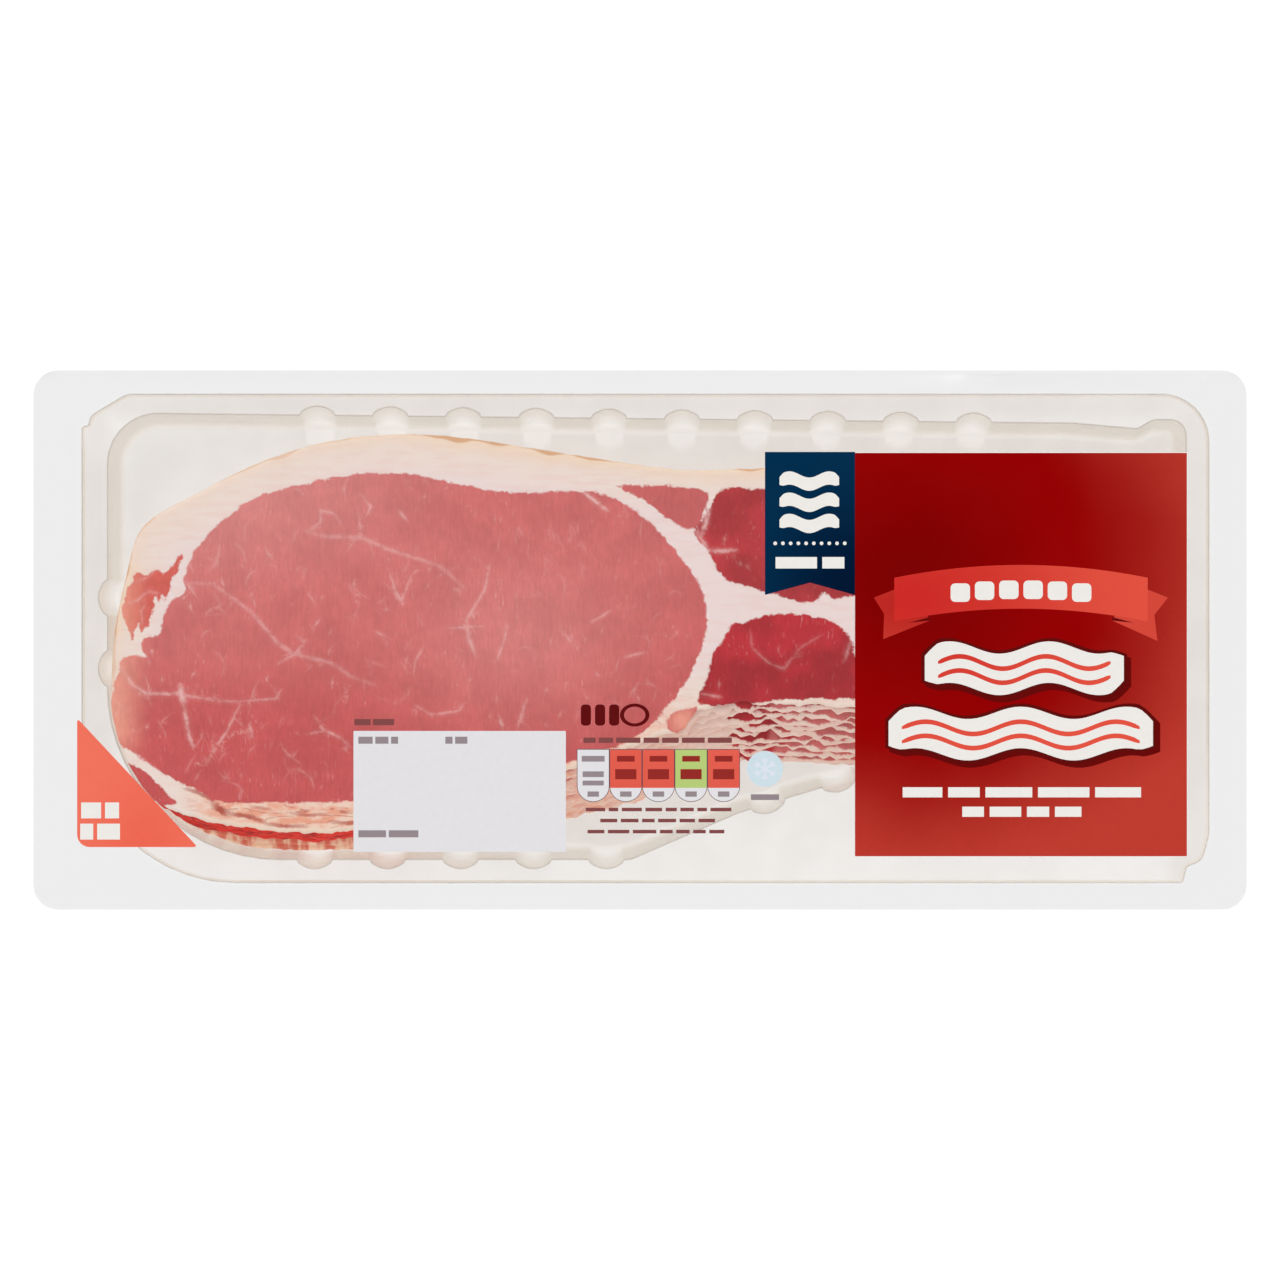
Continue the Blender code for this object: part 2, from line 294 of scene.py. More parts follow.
def ellipse(x, y, reachX, reachY, count):
    turns = [2.0 * math.pi * k / count for k in range(count)]
    return [(x + reachX * math.cos(turn), y + reachY * math.sin(turn)) for turn in turns]


def smoothStep(value, start, end):
    t = np.clip((value - start) / (end - start), 0.0, 1.0)
    return t * t * (3.0 - 2.0 * t)


# Tray: flange, short wall, shoulder, fluted pocket

tray = {
    "length": (cadBox[1].x - cadBox[0].x) / mm,
    "width": (cadBox[1].y - cadBox[0].y) / mm,
    "corner": 5.7,
    "flangeTop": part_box("tray")[1].z / mm,
    "wall": 0.4,
    "cavity": ((-126.2, -54.8, 34.7), (122.7, -54.8, 0.6), (123.7, -51.2, 1.2), (127.2, -49.8, 3.4),
               (128.7, -44.0, 5.0), (128.7, 55.5, 10.6), (-116.2, 55.5, 6.0), (-124.4, 50.6, 3.0),
               (-124.7, 48.5, 0.5), (-126.2, 48.1, 0.5)),
    "shoulderDrop": 3.0,
    "shoulderDraft": 0.3,
    "pocketDraft": 2.0,
    "rimRound": 0.35,
    "floorRound": 1.4,
    "roundSteps": 4,
    "fluteLean": 0.7,
}
flute = {"halfWidth": 4.0, "depth": 2.1, "steps": 12, "fullness": 0.65, "pitch": 16.55, "firstTop": -73.2,
         "firstBottom": -73.8}
pocket = (
    (-120.6, -49.6, 39.0, [(flute["firstBottom"] + flute["pitch"] * k, -49.6) for k in range(5)]),
    (-2.2, -49.6, 4.0, ()),
    (22.0, -39.1, 14.0, ((29.0, -37.0), (45.1, -32.1))),
    (52.0, -30.0, 14.0, ()),
    (123.7, -30.0, 10.0, ()),
    (123.7, 49.8, 3.5, ()),
    (116.6, 49.8, 3.0, ()),
    (112.8, 47.7, 2.0, ()),
    (98.0, 49.0, 20.0, [(flute["firstTop"] + flute["pitch"] * k, 51.3) for k in reversed(range(10))]),
    (-120.6, 51.3, 11.3, ((-120.6, 9.6), (-120.6, -6.5))),
)
tray["shoulder"] = tray["flangeTop"] - tray["shoulderDrop"]
flange = boxCorners(-0.5 * tray["length"], 0.5 * tray["length"], -0.5 * tray["width"], 0.5 * tray["width"],
                    tray["corner"])


def addLoop(bm, outline, height):
    verts = [bm.verts.new((p[0] * mm, p[1] * mm, height * mm)) for p in outline]
    return verts, [bm.edges.new((verts[i - 1], verts[i])) for i in range(len(verts))]


def faceUp(faces):
    for face in faces:
        face.normal_update()
        if face.normal.z < 0.0:
            face.normal_flip()


def fillFlat(bm, edges):
    found = bmesh.ops.triangle_fill(bm, use_beauty=True, edges=edges, normal=(0.0, 0.0, 1.0))
    faces = [item for item in found["geom"] if isinstance(item, bmesh.types.BMFace)]
    faceUp(faces)
    return faces


def bridgeLoops(bm, outer, inner):
    for i in range(len(outer)):
        k = (i + 1) % len(outer)
        bm.faces.new((outer[i], outer[k], inner[k], inner[i]))


def stepProfile(top, bottom, draft, rimRound, footRound, steps):
    # (inset, height, rim, wall) down one wall: rounded rim, drafted wall, rounded foot
    profile = []
    for k in range(steps + 1):
        a = 0.5 * math.pi * k / steps
        profile.append((rimRound * (math.sin(a) - 1.0), top - rimRound * (1.0 - math.cos(a)),
                        math.sin(2.0 * a), k / steps))
    for k in range(steps + 1):
        a = 0.5 * math.pi * k / steps
        profile.append((draft + footRound * (1.0 - math.cos(a)), bottom + footRound * (1.0 - math.sin(a)),
                        0.0, 1.0 - k / steps))
    return profile


def buildTray():
    bm = bmesh.new()
    marks = {name: bm.verts.layers.float.new(name) for name in ("rim", "wall", "scoop", "sealed", "base")}
    steps = tray["roundSteps"]
    outer, above = addLoop(bm, roundedOutline(flange), tray["flangeTop"])
    for vert in outer:
        vert[marks["sealed"]] = 1.0
    walls = (
        (tray["cavity"], None, stepProfile(tray["flangeTop"], tray["shoulder"], tray["shoulderDraft"],
                                           tray["rimRound"], tray["rimRound"], steps)),
        (pocket, flute, stepProfile(tray["shoulder"], tray["wall"], tray["pocketDraft"],
                                    tray["rimRound"], tray["floorRound"], steps)),
    )
    for corners, waves, profile in walls:
        last = None
        for inset, height, rim, wall in profile:
            down = (tray["shoulder"] - height) / (tray["shoulder"] - tray["wall"])
            outline = roundedOutline(corners, inset, 14, waves, 1.0 - tray["fluteLean"] * down)
            verts, edges = addLoop(bm, outline, height)
            sealed = 1.0 if height == tray["flangeTop"] else 0.0
            base = 1.0 if height < tray["wall"] + 0.01 else 0.0
            for vert, point in zip(verts, outline):
                # a flute is marked from a fifth of the way down
                scoop = point.z * max(0.0, down - 0.2) / 0.8 * wall
                for mark, value in zip(marks.values(), (rim, wall, scoop, sealed, base)):
                    vert[mark] = value
            if last is None:
                fillFlat(bm, above + edges)
            else:
                bridgeLoops(bm, last, verts)
            last, above = verts, edges
    fillFlat(bm, above)
    item = addObject("trayShell", meshFrom(bm, "trayShell"))
    shell = item.modifiers.new("thickness", "SOLIDIFY")
    shell.thickness = tray["wall"] * mm
    shell.offset = -1.0
    return smoothFaces(bakeObject(item))


# Geometry Nodes trees for what repeats

def newTree(name, inputs):
    tree = bpy.data.node_groups.new(name, "GeometryNodeTree")
    for label, kind, value in inputs:
        socket = tree.interface.new_socket(label, in_out="INPUT", socket_type="NodeSocket" + kind)
        if value is not None:
            socket.default_value = value
    tree.interface.new_socket("Geometry", in_out="OUTPUT", socket_type="NodeSocketGeometry")
    return tree, tree.nodes.new("NodeGroupInput")


def treeNode(tree, kind, **values):
    # Settings are named as in Python, sockets by their labels with underscores
    node = tree.nodes.new(kind)
    for name, value in values.items():
        if name[0].islower():
            setattr(node, name, value)
    for name, value in values.items():
        if not name[0].islower():
            feed(tree, node.inputs[name.replace("_", " ")], value)
    return node


def endTree(tree, geometry, entry):
    real = treeNode(tree, "GeometryNodeRealizeInstances", Geometry=geometry)
    coated = treeNode(tree, "GeometryNodeSetMaterial", Geometry=real.outputs[0], Material=entry.outputs["Material"])
    tree.links.new(coated.outputs[0], tree.nodes.new("NodeGroupOutput").inputs[0])


def runTree(tree, **values):
    item = addObject("run", bpy.data.meshes.new("run"))
    modifier = item.modifiers.new("nodes", "NODES")
    modifier.node_group = tree
    for socket in tree.interface.items_tree:
        if socket.in_out == "INPUT" and socket.name in values:
            modifier[socket.identifier] = values[socket.name]
    return bakeObject(item)


def vectorNode(tree, x=0.0, y=0.0, z=0.0):
    return treeNode(tree, "ShaderNodeCombineXYZ", X=x, Y=y, Z=z).outputs[0]


def rowTree():
    # Flat discs in a row along X, centred on the origin
    tree, entry = newTree("dotRow", (("Count", "Int", 10), ("Pitch", "Float", 0.001), ("Radius", "Float", 0.0005),
                                     ("Material", "Material", None)))
    count, pitch, radius = [entry.outputs[name] for name in ("Count", "Pitch", "Radius")]
    first = times(tree, minus(tree, count, 1.0), pitch, -0.5)
    line = treeNode(tree, "GeometryNodeMeshLine", mode="OFFSET", Count=count,
                    Start_Location=vectorNode(tree, first), Offset=vectorNode(tree, pitch))
    disc = treeNode(tree, "GeometryNodeMeshCircle", fill_type="NGON", Vertices=20, Radius=radius)
    copies = treeNode(tree, "GeometryNodeInstanceOnPoints", Points=line.outputs[0], Instance=disc.outputs[0])
    endTree(tree, copies.outputs[0], entry)
    return tree


def wordTree():
    # A line of word-like bars of uneven length, spread over Length and centred on the origin
    tree, entry = newTree("wordRow", (("Words", "Int", 5), ("Length", "Float", 0.02), ("Height", "Float", 0.001),
                                      ("Gap", "Float", 0.001), ("Seed", "Int", 1), ("Material", "Material", None)))
    count, length, height, gap, seed = entry.outputs[:5]
    line = treeNode(tree, "GeometryNodeMeshLine", mode="OFFSET", Count=count, Offset=(0.0, 0.0, 0.0))
    share = treeNode(tree, "FunctionNodeRandomValue", data_type="FLOAT", Seed=seed)
    low, high = [s for s in share.inputs if s.type == "VALUE"][:2]
    low.default_value, high.default_value = 0.35, 1.0
    value = [s for s in share.outputs if s.type == "VALUE"][0]
    summed = treeNode(tree, "GeometryNodeAccumulateField", data_type="FLOAT")
    feed(tree, summed.inputs[0], value)
    before, total = summed.outputs[1:3]
    spaces = times(tree, minus(tree, count, 1.0), gap)
    inked = calc(tree, "DIVIDE", minus(tree, length, spaces), total)
    width = times(tree, value, inked)
    index = tree.nodes.new("GeometryNodeInputIndex").outputs[0]
    left = plus(tree, times(tree, before, inked), times(tree, index, gap))
    centred = minus(tree, plus(tree, left, times(tree, width, 0.5)), times(tree, length, 0.5))
    moved = treeNode(tree, "GeometryNodeSetPosition", Geometry=line.outputs[0], Position=vectorNode(tree, centred))
    bar = treeNode(tree, "GeometryNodeMeshGrid", Size_X=1.0, Size_Y=1.0, Vertices_X=2, Vertices_Y=2)
    copies = treeNode(tree, "GeometryNodeInstanceOnPoints", Points=moved.outputs[0], Instance=bar.outputs[0],
                      Scale=vectorNode(tree, width, height, 1.0))
    endTree(tree, copies.outputs[0], entry)
    return tree


def armTree():
    # Bars turned round the origin, as in a snowflake, each with two short side bars
    tree, entry = newTree("turnedArms", (("Arms", "Int", 6), ("Length", "Float", 0.003), ("Width", "Float", 0.0004),
                                         ("Material", "Material", None)))
    arms, length, width = entry.outputs[:3]
    joined = tree.nodes.new("GeometryNodeJoinGeometry")
    # share of the length, place along and beside the arm as shares of it, turn in degrees, lift
    for share, along, beside, turn, lift in ((1.0, 0.5, 0.0, 0.0, 0.0), (0.36, 0.72, 0.12, 50.0, 0.002 * mm),
                                             (0.36, 0.72, -0.12, -50.0, -0.002 * mm)):
        bar = treeNode(tree, "GeometryNodeMeshGrid", Size_X=times(tree, length, share), Size_Y=width,
                       Vertices_X=2, Vertices_Y=2)
        middle = vectorNode(tree, times(tree, length, along), times(tree, length, beside), lift)
        placed = treeNode(tree, "GeometryNodeTransform", Geometry=bar.outputs[0], Translation=middle,
                          Rotation=(0.0, 0.0, math.radians(turn)))
        tree.links.new(placed.outputs[0], joined.inputs[0])
    line = treeNode(tree, "GeometryNodeMeshLine", mode="OFFSET", Count=arms, Offset=(0.0, 0.0, 0.005 * mm))
    index = tree.nodes.new("GeometryNodeInputIndex").outputs[0]
    step = calc(tree, "DIVIDE", 2.0 * math.pi, arms)
    angle = plus(tree, times(tree, index, step), 0.5 * math.pi)
    copies = treeNode(tree, "GeometryNodeInstanceOnPoints", Points=line.outputs[0], Instance=joined.outputs[0],
                      Rotation=vectorNode(tree, z=angle))
    endTree(tree, copies.outputs[0], entry)
    return tree


# Clear plastics

clear = {"face": 0.012, "grazing": 0.4, "falloff": 5.0, "bodyRough": 0.27}


def finishClear(material, veil, haze, tint, look, cloud, sealed):
    # Clear plastic: a tinted pass, a little of a solid body, and a gloss that grows at grazing angles
    tree = material.node_tree
    bump = relief(tree, times(tree, cloud, minus(tree, 1.0, sealed)), look["bump"])
    body = solidShader(tree, tint, clear["bodyRough"], bump)
    through = tree.nodes.new("ShaderNodeBsdfTransparent")
    feed(tree, through.inputs["Color"], veil)
    gloss = tree.nodes.new("ShaderNodeBsdfGlossy")
    gloss.inputs["Roughness"].default_value = look["shine"]
    tree.links.new(bump, gloss.inputs["Normal"])
    weight = tree.nodes.new("ShaderNodeLayerWeight")
    weight.inputs["Blend"].default_value = 0.5
    grazing = calc(tree, "POWER", weight.outputs["Facing"], clear["falloff"])
    glare = plus(tree, clear["face"], times(tree, grazing, clear["grazing"]))
    finishMaterial(tree, mixShader(tree, glare, mixShader(tree, haze, through.outputs[0], body), gloss.outputs[0]))
    return material


# Veils are what a ray keeps on its way through, as linear shares
trayLook = {
    "veil": (0.905, 0.895, 0.886, 1.0),
    "stripVeil": (0.868, 0.850, 0.836, 1.0),
    "deepVeil": (0.885, 0.865, 0.845, 1.0),
    "wallVeil": (0.865, 0.832, 0.790, 1.0),
    "scoopVeil": (0.940, 0.930, 0.918, 1.0),
    "sealVeil": (0.99, 0.99, 0.99, 1.0),
    "edge": (150, 138, 124),
    "frost": (250, 250, 250),
    "rimLineShade": 0.36,
    "cloudHaze": (0.01, 0.03),
    "sealHaze": 0.5,
    "shine": 0.10,
    "bump": 0.05,
    "column": {"bend": 2.4, "foot": (42.2, 45.4), "swing": (0.18, 0.52), "end": (80.5, 81.0), "share": 0.7},
}


def fluteColumns(tree, x, y, look):
    # Lighter columns on the floor at the foot of each flute
    phase = times(tree, minus(tree, x, flute["firstTop"]), 2.0 * math.pi / flute["pitch"])
    swing = calc(tree, "COSINE", phase)
    foot = plus(tree, y, times(tree, minus(tree, swing, 1.0), look["bend"]))
    ends = ease(tree, absolute(tree, x), *look["end"], 1.0, 0.0)
    return times(tree, ease(tree, swing, *look["swing"]), ease(tree, foot, *look["foot"]), ends,
                 reading(tree, "base"), look["share"])


def trayMaterial():
    look = trayLook
    material, tree = newMaterial("clear tray")
    spot = place(tree)
    cloud = grain(tree, spot, 9.0, 1.0)
    x, y = axes(tree, spot)[:2]
    rim, wall, scoop, sealed, base = readings(tree, "rim", "wall", "scoop", "sealed", "base")
    # the strips beside the pocket and the right of the floor let less through, the floor below a flute more
    strip = calc(tree, "MAXIMUM", ease(tree, y, 47.0, 53.0), ease(tree, absolute(tree, x), 117.0, 123.0))
    deep = times(tree, base, ease(tree, x, -110.0, -10.0, 0.1, 1.0))
    veil = look["veil"]
    column = fluteColumns(tree, x, y, look["column"])
    for share, key in ((strip, "stripVeil"), (deep, "deepVeil"), (column, "scoopVeil"), (wall, "wallVeil"),
                       (scoop, "scoopVeil"), (sealed, "sealVeil")):
        veil = blendColour(tree, share, veil, look[key])
    # painted shade: a grey-brown haze along the rounded rims draws the dark lines seen at the tray's bends
    haze = plus(tree, times(tree, rim, look["rimLineShade"]), ease(tree, cloud, 0.3, 0.7, *look["cloudHaze"]))
    haze = calc(tree, "MAXIMUM", haze, times(tree, sealed, look["sealHaze"]))
    tint = blendColour(tree, sealed, paint(*look["edge"]), paint(*look["frost"]))
    return finishClear(material, veil, haze, tint, look, cloud, sealed)


addPiece("tray_shell", buildTray(), trayMaterial(), "tray", "tray")
print("tray done")


# Rashers: cut outline, muscles, seams and marbling

rasher = {
    "count": 10,
    "thickness": 2.0,
    "gap": 0.3,
    "base": 1.2,
    "wave": 0.25,
    "waveReach": (14.0, 12.0),
    "waveStart": 0.6,
    "shiftLeft": (0.0, 0.45, 0.9, 1.35, 1.8, 3.1, 4.2, 5.0, 5.6, 6.0),
    "shiftRight": 1.48,
    "shiftFrom": -60.0,
    "shiftTo": 10.0,
    "ruffle": 0.45,
    "ruffleWaves": (5, 9, 14),
    "ruffleSeed": 20,
    "tears": ((1.7, 3.1, 4.7, 0.9), (3.6, 8.3, 2.9, 1.4)),  # grain, two seeds, depth
    "tearLevel": 0.25,
    "tearTop": (0.2, 0.7),  # the top rasher's share of the tears, at the back and at the front
    "clearance": 0.35,
    "crowding": 0.35,
    "edgeRound": 0.8,
    "edgeDrop": 0.36,
    "swells": ((0.10, 7.0, 3.0), (0.03, 1.6, 9.0)),  # height, grain, seed
    "fatRise": 0.10,
    "lipWave": 0.35,
    "merge": 0.002,
    "back": ((-120.0, -13.0), (-119.3, 0.0), (-116.8, 13.0), (-112.6, 25.7), (-99.9, 33.5), (-86.5, 40.1),
             (-73.2, 44.4), (-59.0, 46.4), (-43.7, 46.2), (-22.4, 43.1), (-1.8, 39.9), (12.0, 38.5),
             (30.0, 38.8), (60.0, 38.2), (88.0, 36.0), (105.0, 29.0), (112.0, 16.0), (113.0, 6.0)),
    "front": ((-120.0, -13.0), (-119.6, -24.9), (-112.1, -34.9), (-98.5, -41.0), (-77.0, -43.7), (-65.5, -43.2),
              (-47.6, -39.4), (-29.4, -34.4), (-14.5, -29.0), (-2.5, -24.5), (5.0, -21.4), (9.6, -20.4), (14.2, -15.6),
              (27.4, -14.3), (48.7, -14.9), (75.0, -14.0), (95.0, -10.0), (108.0, -4.0), (113.0, 6.0)),
}

# Each muscle is an outline with its tone, 0 pale pink to 1 dark red, and below 0 towards the flap's orange red
muscles = {
    "eye": (0.0, ((-103.1, 11.3), (-103.4, 14.0), (-101.5, 19.0), (-98.6, 23.3), (-92.9, 28.5), (-87.0, 32.3),
                  (-76.1, 35.4), (-64.1, 37.6), (-51.9, 37.7), (-42.4, 35.6), (-29.9, 33.5), (-11.8, 33.7),
                  (-4.5, 31.5), (2.0, 27.0), (7.5, 20.8), (12.0, 14.9), (14.5, 9.7), (15.1, 3.6), (14.0, -1.8),
                  (11.3, -7.9), (6.3, -15.2), (0.0, -21.3), (-8.6, -25.4), (-16.8, -28.1), (-31.7, -32.8),
                  (-47.6, -36.0), (-65.5, -36.7), (-92.4, -36.9), (-97.8, -35.8), (-101.0, -33.7),
                  (-107.6, -30.6), (-114.6, -26.0), (-118.7, -22.9), (-119.9, -17.0), (-119.4, -11.3),
                  (-118.2, -7.2), (-117.8, -4.5), (-115.5, -3.4), (-111.9, -3.9), (-113.0, -2.0), (-112.8, 0.0),
                  (-108.9, 1.6), (-108.3, 4.5), (-107.4, 7.0), (-105.3, 9.5))),
    "flap": (-0.50, ((-114.9, 14.4), (-115.2, 13.2), (-116.3, 11.8), (-116.5, 10.2), (-117.3, 8.6),
                   (-117.6, 7.3), (-117.1, 5.3), (-116.5, 3.7), (-116.0, 2.1), (-115.6, 0.1), (-114.9, -0.2),
                   (-114.5, 0.9), (-114.4, 2.3), (-113.6, 3.7), (-113.5, 2.3), (-112.9, 1.7), (-112.4, 2.9),
                   (-111.3, 3.7), (-110.7, 5.5), (-110.2, 7.7), (-109.9, 10.0), (-109.1, 8.8), (-108.3, 10.2),
                   (-107.7, 9.2), (-106.7, 11.0), (-106.0, 13.0), (-105.6, 14.8), (-104.8, 15.2),
                   (-104.4, 16.6), (-103.6, 19.2), (-104.4, 19.3), (-105.2, 18.0), (-106.0, 16.6),
                   (-107.3, 15.6), (-108.3, 15.0), (-109.1, 16.0), (-110.5, 15.6), (-111.5, 15.0),
                   (-112.5, 14.8), (-113.9, 15.2))),
    "wedge": (0.20, ((-118.0, -27.8), (-114.6, -28.4), (-111.8, -30.3), (-109.6, -32.2), (-107.4, -34.4),
                    (-105.0, -36.9), (-107.0, -37.4), (-109.0, -37.8), (-112.2, -36.4), (-116.4, -32.0))),
    "corner": (0.15, ((-5.2, 34.8), (0.5, 35.1), (7.5, 35.0), (14.0, 34.0), (15.6, 32.7), (14.2, 28.3), (13.1, 25.6),
                     (10.4, 25.1), (6.1, 27.6), (0.5, 31.9))),
    "upper": (0.88, ((17.9, 33.5), (20.8, 34.7), (28.1, 34.2), (38.5, 34.7), (52.1, 33.5), (68.0, 31.7),
                     (81.5, 27.2), (83.8, 18.1), (72.5, 11.3), (58.9, 8.2), (48.7, 10.0), (44.2, 9.3), (41.9, 10.6),
                     (39.5, 8.8), (35.1, 8.6), (31.7, 10.2), (28.3, 10.6), (25.1, 12.0), (20.8, 13.1), (17.9, 15.4),
                     (16.1, 18.8), (14.7, 21.1), (12.2, 24.5), (14.7, 28.0))),
    "lower": (1.0, ((20.8, 3.6), (24.0, 4.1), (28.8, 5.7), (35.1, 5.9), (42.1, 4.8), (46.4, 2.0), (48.2, -0.7),
                    (49.4, -4.5), (58.9, -7.2), (72.5, -6.3), (83.8, -2.3), (90.6, -4.5), (86.1, -9.1),
                    (72.5, -11.8), (58.9, -13.1), (48.7, -13.4), (31.7, -13.6), (23.6, -14.9), (18.8, -15.6),
                    (14.0, -14.5), (13.4, -12.7), (15.2, -8.4), (16.5, -3.2), (19.0, 0.2))),
    "scrap": (0.0, ((13.0, -15.2), (12.4, -18.4), (10.4, -21.4), (6.6, -20.6), (6.4, -17.6), (9.0, -15.8))),
    "tail": (0.8, ((92.0, 22.0), (102.0, 16.0), (106.0, 8.0), (100.0, 2.0), (90.0, 4.0), (84.0, 9.0), (86.0, 17.0))),
}

# Seams that stand out: width, strength, then the points they run through
seams = (
    (0.60, 0.40, ((-102.9, 12.8), (-97.0, 12.8), (-92.9, 10.0), (-88.0, 6.2), (-85.3, 3.1), (-82.5, -0.4),
                  (-78.3, -3.2), (-70.0, -5.2), (-65.2, -8.4), (-60.3, -10.1))),
    (0.45, 0.40, ((-75.6, 24.6), (-72.4, 26.6), (-72.4, 29.4), (-69.3, 28.7), (-67.9, 26.6))),
    (0.60, 0.38, ((-75.6, 24.6), (-71.4, 23.5), (-63.1, 23.2), (-57.5, 20.7), (-49.2, 18.0), (-45.1, 16.6),
                  (-40.2, 12.1))),
    (0.50, 0.60, ((-117.8, -5.9), (-115.1, -10.1), (-111.9, -12.2), (-104.7, -12.2), (-95.0, -13.9))),
    (0.95, 0.90, ((-104.1, -10.6), (-103.9, -12.4), (-103.6, -14.3))),
    (0.55, 0.70, ((-103.6, -14.3), (-102.9, -17.7), (-102.2, -21.9), (-101.2, -24.3))),
    (0.42, 0.55, ((-90.8, -14.9), (-93.6, -20.5), (-96.3, -24.7), (-98.1, -27.8))),
    (0.40, 0.45, ((-95.0, -13.9), (-89.4, -13.9), (-82.5, -13.2), (-81.4, -11.5))),
    (0.42, 0.50, ((-74.9, -21.2), (-71.4, -20.5), (-67.9, -22.2), (-65.8, -24.0))),
    (0.35, 0.45, ((-73.5, -17.7), (-71.4, -20.8))),
    (0.40, 0.42, ((-50.9, -14.9), (-47.1, -17.0), (-40.9, -16.0), (-40.2, -14.9))),
    (0.50, 0.60, ((-39.2, 3.8), (-38.8, 0.3), (-37.4, -3.2))),
    (0.35, 0.45, ((-43.0, 2.7), (-36.0, 3.1))),
    (0.42, 0.50, ((-56.8, 15.5), (-55.5, 11.4), (-54.1, 8.6), (-52.0, 14.2))),
    (0.40, 0.55, ((-59.6, 1.7), (-57.2, 0.6))),
    (0.40, 0.45, ((-103.3, 13.5), (-100.8, 10.3))),
    (0.40, 0.50, ((-63.1, 32.9), (-61.0, 30.1), (-61.7, 28.7))),
    (0.40, 0.50, ((-54.8, 29.4), (-53.0, 27.3))),
    (0.40, 0.50, ((-63.8, 28.7), (-63.1, 23.2))),
    (0.40, 0.50, ((-81.8, -5.2), (-78.3, -3.2), (-75.9, -0.4))),
    (0.40, 0.42, ((-49.2, -1.8), (-50.9, -4.6), (-51.3, -7.3))),
    (0.45, 0.60, ((-88.5, -19.2), (-87.9, -21.8))),
    (0.40, 0.50, ((-34.2, 16.6), (-35.2, 11.4), (-39.4, 4.5), (-37.3, -3.2))),
    (0.42, 0.48, ((-30.0, 3.1), (-31.1, -1.1), (-32.5, -4.6))),
    (0.50, 0.50, ((-17.2, 1.3), (-15.5, -0.4))),
    (0.38, 0.42, ((-11.0, 4.1), (-6.8, 6.5))),
    (0.38, 0.42, ((-3.3, -3.9), (0.8, -2.8))),
    (0.38, 0.42, ((-2.0, -12.2), (-0.6, -10.1))),
    (0.45, 0.60, ((-25.9, -13.9), (-27.6, -19.5))),
    (0.45, 0.60, ((-31.8, -17.7), (-31.1, -20.1))),
    (0.55, 0.85, ((-13.4, 34.1), (-10.3, 31.5), (-7.5, 29.4))),
    (0.55, 0.75, ((12.6, 24.6), (15.7, 20.4), (18.1, 20.1), (21.6, 20.4))),
    (0.70, 0.80, ((15.7, 30.0), (14.9, 26.6), (14.0, 23.9))),
    (0.38, 0.28, ((25.1, 1.7), (25.4, -1.8), (29.2, -5.2), (32.7, -6.6), (36.2, -1.8), (41.0, 1.0))),
    (0.45, 0.50, ((14.0, -12.2), (18.1, -12.9))),
    (0.50, 0.45, ((46.4, -4.6), (47.9, 0.3))),
    (0.45, 0.42, ((-115.9, 8.3), (-113.9, 9.0), (-111.6, 11.0), (-109.2, 10.6))),
    (0.40, 0.34, ((-113.8, 13.4), (-111.2, 14.4), (-109.0, 17.2))),
    (0.40, 0.30, ((-112.8, 3.8), (-113.1, 6.4), (-112.2, 8.0))),
    (1.30, 1.00, ((-119.6, -24.9), (-114.6, -26.4), (-108.7, -31.0), (-104.6, -33.9), (-101.0, -36.9),
                  (-96.0, -38.7))),
)
# Dark slits where the belly side is torn, laid out as the seams are
slits = (
    (0.45, 0.75, ((-103.1, -33.7), (-100.6, -34.4), (-97.8, -35.8), (-96.2, -37.2))),
    (0.95, 0.95, ((-96.6, -37.2), (-95.0, -38.6), (-93.4, -39.4))),
    (0.55, 0.80, ((-93.4, -39.4), (-90.6, -39.7), (-87.6, -40.3), (-84.9, -41.5))),
    (0.45, 0.70, ((-84.9, -41.7), (-80.8, -42.2), (-75.6, -42.3))),
    (0.40, 0.60, ((-79.4, -39.2), (-75.0, -39.8), (-71.0, -39.4))),
    (0.40, 0.50, ((-88.0, -37.8), (-83.6, -38.4))),
    (0.50, 0.70, ((-70.2, -41.2), (-66.0, -41.6), (-61.0, -40.8))),
)
marbling = {"seed": 7, "strokes": 210, "length": (1.4, 5.0), "width": (0.20, 0.34), "strength": (0.08, 0.30),
            "lean": 0.45, "bend": 0.35, "branch": 0.45, "flecks": 130, "fleckLength": (0.4, 1.1),
            "rightShare": 0.35, "boldLeftOf": -60.0, "search": 1.4, "fade": (0.7, 1.35), "taper": 0.55}


def catmull(a, b, c, d, t):
    # Catmull-Rom curve from b to c
    return 0.5 * (2.0 * b + (c - a) * t + (2.0 * a - 5.0 * b + 4.0 * c - d) * t ** 2
                  + (3.0 * b - a - 3.0 * c + d) * t ** 3)


def smoothChain(points, count, crowding):
    # A curve through the points, its own points closer together towards both ends
    known = [2.0 * np.array(points[0]) - points[1], *map(np.array, points)]
    known.append(2.0 * np.array(points[-1]) - points[-2])
    chain = []
    for i in range(count + 1):
        crowded = 0.5 - 0.5 * math.cos(math.pi * i / count)
        spot = (crowding * crowded + (1.0 - crowding) * i / count) * (len(points) - 1)
        k = min(int(spot), len(points) - 2)
        chain.append(catmull(*known[k:k + 4], spot - k))
    return np.array(chain)


def closedCurve(points, perSpan=4):
    ring = np.array(points)
    around = [np.roll(ring, -k, 0) for k in (-1, 0, 1, 2)]
    return np.stack([catmull(*around, k / perSpan) for k in range(perSpan)], 1).reshape(-1, 2)


